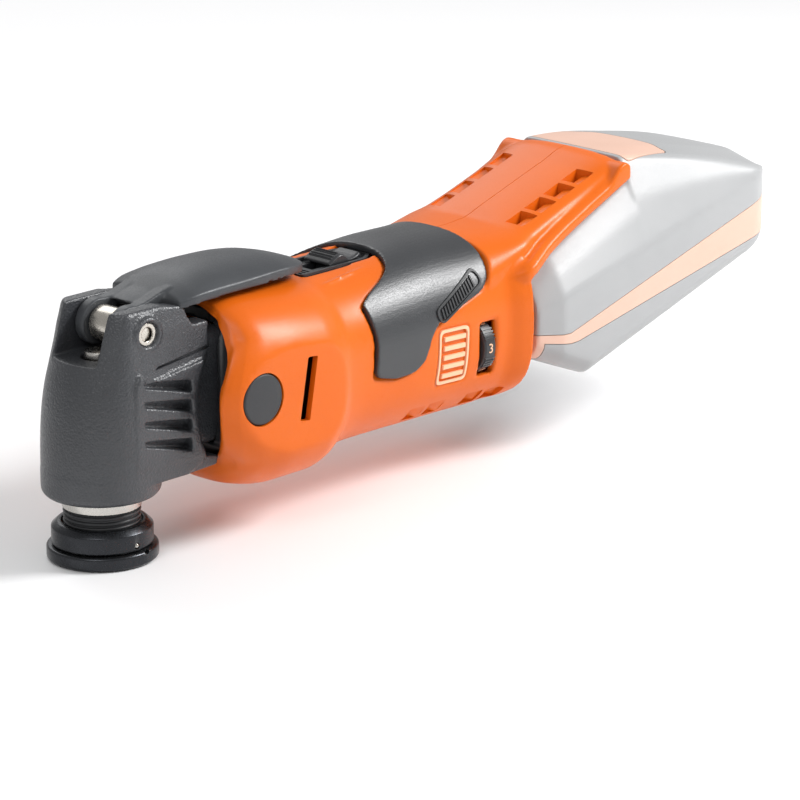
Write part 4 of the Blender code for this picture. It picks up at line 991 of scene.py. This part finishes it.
# ----------------------------------------
# Badge. A shallow panel in the left side with a raised frame and plain bars, moulded in a paler
# orange and set in a matching recess.
pale_orange = finish("pale_orange", (0.93, 0.55, 0.34), (0.88, 0.5, 0.3), 0.4, grain=3000.0, pitting=0.12)
badge_centre = (131.4, 44.8)


def shrunk(outline, share):
    return [(badge_centre[0] + (x - badge_centre[0]) * share, badge_centre[1] + (z - badge_centre[1]) * share)
            for x, z in outline]


badge_frame = side_prism("badge_frame", shrunk(BADGE, 0.93), -1, 20.0, 45.0)
cut(badge_frame, side_prism("badge_field", shrunk(BADGE, 0.83), -1, 15.0, 50.0))
bar = side_prism("badge_bar", [(126.4, 37.6), (136.4, 37.2), (136.5, 38.7), (126.5, 39.1)], -1, 20.0, 45.0)
badge_bars = row("badge_bars", bar, 5, (0.16, 0, 3.2))
for raised in (badge_frame, badge_bars):
    trim(raised, body_solid("badge_top", 0.15, start=100.0, end=160.0))
    cut(raised, body_solid("badge_back", -1.2, start=98.0, end=162.0))
add(badge_frame, badge_bars)
badge_frame.name = "badge_frame_bars"
fit(smooth(badge_frame), "housing", "grip_rubber", pale_orange, "badge_plate")

# ----------------------------------------
# Slide switch. A black moulded tray let into the top of the housing, with low rails and cross
# ribs, and a slider with a thumb ridge and a hollow behind it.
switch_plastic = finish("switch_plastic", (0.022, 0.023, 0.026), (0.035, 0.036, 0.039), 0.36, grain=3000.0,
                        pitting=0.18)
tray_outline = eased([(82.0, -8.4), (112.0, -8.4), (118.4, -4.2), (118.4, 4.2), (112.0, 8.4), (82.0, 8.4)], 2.0)
tray = prism("switch_tray", tray_outline, "z", 73.6, 78.3)
tray_inside = eased([(80.0, -7.3), (111.4, -7.3), (117.2, -3.6), (117.2, 3.6), (111.4, 7.3), (80.0, 7.3)], 1.8)
cut(tray, prism("tray_inside", tray_inside, "z", 77.2, 80.0), prism("tray_slot", rectangle(91.8, 110.2, -3.2, 3.2),
                                                                    "z", 70.0, 90.0))
tray_rib = prism("tray_rib", rectangle(83.2, 83.9, -7.4, 7.4), "z", 76.6, 77.75)
tray_ribs = row("tray_ribs", tray_rib, 4, (1.7, 0, 0))
add(tray, tray_ribs)
tray.name = "switch_tray_ribbed"
fit(smooth(tray), "housing", "black_plastic", switch_plastic, "switch_base")

SLIDER_LINE = ((97.1, 78.7), (98.6, 79.7), (100.6, 80.8), (102.4, 81.2), (104.0, 80.7), (105.4, 79.3), (107.6, 78.7),
               (110.4, 79.0), (112.2, 79.7), (113.1, 79.3))
slider_rings = []
for x, top in SLIDER_LINE:
    half_wide = 6.3 - 1.5 * max((x - 106.0) / 7.1, 0.0)
    slider_rings.append([(x, -half_wide, 77.75), (x, half_wide, 77.75), (x, half_wide, top - 0.5),
                         (x, half_wide - 0.9, top), (x, -half_wide + 0.9, top), (x, -half_wide, top - 0.5)])
slider = whole("switch_slider_moulded", 0.3, loft("slider_top", slider_rings),
               prism("slider_stem", rectangle(99.5, 108.5, -2.8, 2.8), "z", 71.0, 78.5))
thumb_rib = prism("thumb_rib", [(98.2, 79.0), (98.8, 78.8), (99.0, 80.2), (98.5, 80.3)], "y", -5.0, 5.0)
thumb_ribs = row("thumb_ribs", thumb_rib, 4, (1.05, 0, 0.42))
soften(slider, 0.3, 2)
add(slider, thumb_ribs)
fit(smooth(slider), "switch", "black_plastic", switch_plastic, "switch_slider")

# ----------------------------------------
# Speed dial. A black wheel on a cross axle whose rim shows in the window: six plain patches
# carry the numbers 1 to 6, with grip bars between them.
DIAL_RADIUS, DIAL_HALF = 9.9, 2.7
dial_wheel = turned("dial_wheel", ((1.9, DIAL_X - DIAL_HALF), (DIAL_RADIUS - 0.5, DIAL_X - DIAL_HALF),
                                   (DIAL_RADIUS, DIAL_X - DIAL_HALF + 0.6), (DIAL_RADIUS, DIAL_X + DIAL_HALF - 0.6),
                                   (DIAL_RADIUS - 0.5, DIAL_X + DIAL_HALF), (1.9, DIAL_X + DIAL_HALF)), "x",
                    (DIAL_Y, DIAL_Z), 0.2, 120)
ring_tree, ring_in, ring_out = node_tree("ring_of_copies", (
    ("Wheel", "Geometry", None), ("Piece", "Object", None), ("Count", "Int", 6), ("Centre", "Vector", (0, 0, 0)),
    ("Turn", "Float", 1.0), ("Surface", "Material", None)))
ring_spot = step_of(ring_tree, "GeometryNodeMeshLine", Count=ring_in["Count"], Start_Location=ring_in["Centre"],
                    Offset=(0, 0, 0))
ring_index = step_of(ring_tree, "GeometryNodeInputIndex")
ring_angle = sum_of(ring_tree, "Math", "MULTIPLY", ring_index.outputs[0], ring_in["Turn"])
ring_rotation = node(ring_tree, "CombineXYZ", X=ring_angle.outputs[0])
ring_piece = step_of(ring_tree, "GeometryNodeObjectInfo", Object=ring_in["Piece"])
ring_copies = step_of(ring_tree, "GeometryNodeInstanceOnPoints", Points=ring_spot,
                      Instance=ring_piece.outputs["Geometry"], Rotation=ring_rotation)
ring_whole = step_of(ring_tree, "GeometryNodeJoinGeometry", Geometry=ring_in["Wheel"])
ring_tree.links.new(ring_copies.outputs["Instances"], ring_whole.inputs["Geometry"])
close_tree(ring_tree, ring_out, ring_in["Surface"], ring_whole)
dial_bars = []
for turn_degrees in (20.0, 26.5, 33.5, 40.0):
    turn = math.radians(turn_degrees)
    out, across = (-math.cos(turn), math.sin(turn)), (math.sin(turn), math.cos(turn))
    corners = [(out[0] * r + across[0] * a, out[1] * r + across[1] * a) for r, a in (
        (DIAL_RADIUS - 0.4, -0.38), (DIAL_RADIUS + 0.3, -0.22), (DIAL_RADIUS + 0.3, 0.22), (DIAL_RADIUS - 0.4, 0.38))]
    dial_bars.append(prism("dial_bar", corners, "x", -DIAL_HALF + 0.3, DIAL_HALF - 0.3))
bar_group = together("dial_bars", *dial_bars)
bar_group.data.transform(Matrix.Translation((-spindle_x, 0, 0)))
dial_centre = (spindle_x + DIAL_X * MM, DIAL_Y * MM, DIAL_Z * MM)
speed_dial = grow("speed_dial_wheel", ring_tree, dial_wheel, Piece=bar_group, Count=6, Turn=math.radians(60.0),
                  Centre=dial_centre, Surface=switch_plastic)
bpy.data.objects.remove(bar_group)
fit(smooth(speed_dial, 25), "dial", "black_plastic", switch_plastic, "speed_dial")

number_paint = finish("number_paint", (0.9, 0.55, 0.35), (0.86, 0.5, 0.3), 0.5)
dial_digits = []
for k in range(6):
    text = bpy.data.curves.new("dial_digit", "FONT")
    text.body, text.size, text.extrude = str(k + 1), 4.6 * MM, 0.3 * MM
    text.align_x, text.align_y = "CENTER", "CENTER"
    writing = placed("dial_digit", text)
    bpy.context.view_layer.update()
    digit = placed("dial_digit", bpy.data.meshes.new_from_object(writing))
    bpy.data.objects.remove(writing)
    digit.data.transform(
        Matrix.Translation(dial_centre)
        @ Matrix.Rotation(math.radians(60.0 * (k - 2)), 4, "X")
        @ Matrix.Translation((0, -(DIAL_RADIUS - 0.2) * MM, 0)) @ Matrix.Rotation(math.radians(90.0), 4, "X"))
    dial_digits.append(digit)
fit(together("dial_numbers", *dial_digits), "dial", "black_plastic", number_paint)

# ----------------------------------------
# Motor, bearings and control board. All inside the housing, plain turned and stamped parts that
# keep their shape: iron stator, steel rotor and cam, moulded fan, green board.
stator_iron = finish("stator_iron", (0.11, 0.105, 0.1), (0.16, 0.15, 0.14), 0.5, metallic=0.8, pitting=0.2)
board_varnish = finish("board_varnish", (0.02, 0.09, 0.04), (0.03, 0.12, 0.06), 0.35, coat=0.3)
fan_plastic = finish("fan_plastic", (0.03, 0.03, 0.032), (0.045, 0.045, 0.048), 0.5)
refinish(("motor_stator",), stator_iron)
refinish(("motor_rotor", "eccentric_cam", "motor_bearing_front", "motor_bearing_rear", "dial_axle"), bright_steel)
refinish(("cooling_fan",), fan_plastic)
refinish(("control_board",), board_varnish)

# ----------------------------------------
# Battery rail. A black moulded T-rail screwed under the hump, with two bent steel contacts; it
# keeps its shape, as do the five steel-cased cells inside the pack.
contact_nickel = finish("contact_nickel", (0.66, 0.64, 0.6), (0.55, 0.53, 0.5), 0.28, metallic=1.0)
cell_case = finish("cell_case", (0.35, 0.4, 0.45), (0.28, 0.33, 0.38), 0.4, metallic=0.6)
refinish(("battery_rail",), fan_plastic)
refinish(("battery_contact_plus", "battery_contact_minus"), contact_nickel)
refinish([f"battery_cell_{k}" for k in range(1, 6)], cell_case)

# ----------------------------------------
# Battery pack. Two pale moulded shells with a peach band between them, closed round five cells;
# the top is cut away for the rail and the hump, and has a well for the release button.
PACK_FRONT, PACK_REAR, PACK_HALF, HUMP_REAR = 169.6, 300.0, 37.0, 222.4
KEEL_X, KEEL_Z = 194.0, 25.9  # the lowest corner
TAIL_X = 280.0  # the rear starts to round off here
BAND_LOW = ((160.0, 169.6, 184.9, 283.0, 310.0), (41.6, 41.4, 39.2, 59.2, 64.8))
BAND_HIGH = ((160.0, 169.6, 182.2, 279.0, 310.0), (44.6, 44.4, 43.0, 70.6, 80.0))


def pack_ring(x):
    """A section of the whole pack: a flat keel, upright sides, sloping shoulders and a flat top."""
    if x < KEEL_X:
        low = 36.2 - 10.3 * (x - PACK_FRONT) / (KEEL_X - PACK_FRONT)
    else:
        low = KEEL_Z + 0.305 * (x - KEEL_X)
    half = PACK_HALF
    if x < 180.0:
        half = 33.5 + 3.5 * (x - PACK_FRONT) / (180.0 - PACK_FRONT)
    elif x > TAIL_X:
        half = PACK_HALF * math.sqrt(1 - ((x - TAIL_X) / (PACK_REAR - TAIL_X)) ** 2.2)
    high = 96.0 - 0.0018 * (x - HUMP_REAR) ** 2 - 0.02 * (x - HUMP_REAR)
    if x < HUMP_REAR + 1.0:
        high = rail_floor(x, 0.6)
    ridge = min(55.7 + 0.237 * (x - 179.4), high - 4.0)
    flat, edge = half - (high - ridge) * (0.68 - 0.18 * min(max((x - 180.0) / 43.0, 0.0), 1.0)), high
    if x > HUMP_REAR + 1.0:
        share = min((x - HUMP_REAR - 1.0) / 66.0, 1.0)
        flat, edge = half - 15.0 + 13.5 * share, high - 4.0 * share
    corners = [(half - 3.6, low - 0.3), (half, low + 4.2), (half, ridge),
               ((flat + half) / 2 + 0.6, (ridge + edge) / 2 + 0.8), (flat, edge), (0.5 * flat, high)]
    loop = corners + [(-y, z) for y, z in corners[::-1]]
    return [(x, y, z) for y, z in eased(loop, 2.2)]


pack_at = [*np.linspace(PACK_FRONT, HUMP_REAR + 0.9, 40), *np.linspace(HUMP_REAR + 1.1, 278.0, 20),
           *(279.0 + 20.2 * np.sin(np.linspace(0.05, math.pi / 2, 24)))]
pack = whole("pack_moulding", 0.75, loft("pack_block", [pack_ring(x) for x in pack_at]))
soften(pack, 0.75, 3)
HUMP_ROOM = [(150.0, rail_floor(150.0, 0.4)), (HUMP_REAR + 1.2, rail_floor(HUMP_REAR + 1.2, 0.4)),
             (HUMP_REAR + 1.2, 120.0), (150.0, 120.0)]


def sloped_slot(half, top, bottom):
    outline = [(x, rail_floor(x, below)) for x, below in ((150.0, bottom), (216.0, bottom), (216.0, top), (150.0, top))]
    return prism("rail_slot", outline, "y", -half, half)


def band_low(x):
    return float(np.interp(x, *BAND_LOW))


def band_high(x):
    return float(np.interp(x, *BAND_HIGH))


def button_outline(gap):
    near, far = 225.2 - gap, 23.6 + gap
    return [(near, -far), (247.6 + gap, -far), (252.4 + gap, -10.0), (253.4 + gap, 0.0), (252.4 + gap, 10.0),
            (247.6 + gap, far), (near, far)]


room_rings = []
for x, half in ((173.5, 30.0), (180.0, 33.2), (192.0, 33.2), (230.0, 33.2), (276.0, 33.2), (288.0, 22.0)):
    low = 30.0 + 0.302 * (x - 192.0) if x >= 192.0 else 39.5 - 9.5 * (x - PACK_FRONT) / 22.4
    high = band_high(x) + 4.4
    room_rings.append([(x, 5.0 - half, low), (x, half - 5.0, low), (x, half, low + 4.0), (x, half, high),
                       (x, -half, high), (x, -half, low + 4.0)])


def part_of_pack(name, region):
    return trim(placed(name, pack.data.copy()), region)


button = part_of_pack("release_button_cap", prism("button_plan", eased(button_outline(0.0), 3.0), "z", 89.2, 110.0))
cut(pack, prism("hump_room", HUMP_ROOM, "y", -60.0, 60.0), sloped_slot(13.6, -2.0, 6.0),
    sloped_slot(17.6, 3.0, 8.4), prism("button_well", eased(button_outline(0.35), 3.0), "z", 87.0, 110.0),
    loft("cell_room", room_rings))


def belt(low_line, high_line):
    """Everything between two heights that change along the pack."""
    at = np.linspace(160.0, 310.0, 40)
    outline = [(x, low_line(x)) for x in at] + [(x, high_line(x)) for x in at[::-1]]
    return prism("belt", outline, "y", -60.0, 60.0)


pack_plastic = finish("pack_plastic", (0.38, 0.385, 0.39), (0.35, 0.355, 0.36), 0.36, grain=2400.0, pitting=0.14,
                      mottle=18.0)
peach_plastic = finish("peach_plastic", (0.72, 0.47, 0.37), (0.68, 0.44, 0.34), 0.38, grain=2400.0, pitting=0.14)
front_strip = part_of_pack("front_strip", belt(lambda x: 10.0, lambda x: band_low(x) + 0.3))
trim(front_strip, prism("strip_room", rectangle(160.0, 172.2, 0.0, 80.0), "y", -60.0, 60.0))
lower_pack = part_of_pack("pack_lower_moulded", belt(lambda x: 10.0, lambda x: band_low(x) - 0.12))
cut(lower_pack, prism("strip_cut", rectangle(160.0, 172.5, 0.0, 80.0), "y", -60.0, 60.0))
upper_pack = part_of_pack("pack_upper_moulded", belt(lambda x: band_high(x) + 0.12, lambda x: 120.0))
band = part_of_pack("pack_band_moulded", belt(lambda x: band_low(x) + 0.12, lambda x: band_high(x) - 0.12))
add(band, front_strip)
bpy.data.objects.remove(pack)
fit(smooth(lower_pack), "pack", "pale_plastic", pack_plastic, "pack_lower_shell")
fit(smooth(upper_pack), "pack", "pale_plastic", pack_plastic, "pack_upper_shell")
fit(smooth(band), "pack", "peach_plastic", peach_plastic, "pack_band")

# ----------------------------------------
# Release button. A peach cap, moulded on its own and flush with the top of the pack and its
# shoulders, that sinks into its well when it is pressed.
fit(smooth(button), "release_button", "peach_plastic", peach_plastic, "pack_release_button")

[list(corner) for corner in (cad_low, cad_high, *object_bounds())]
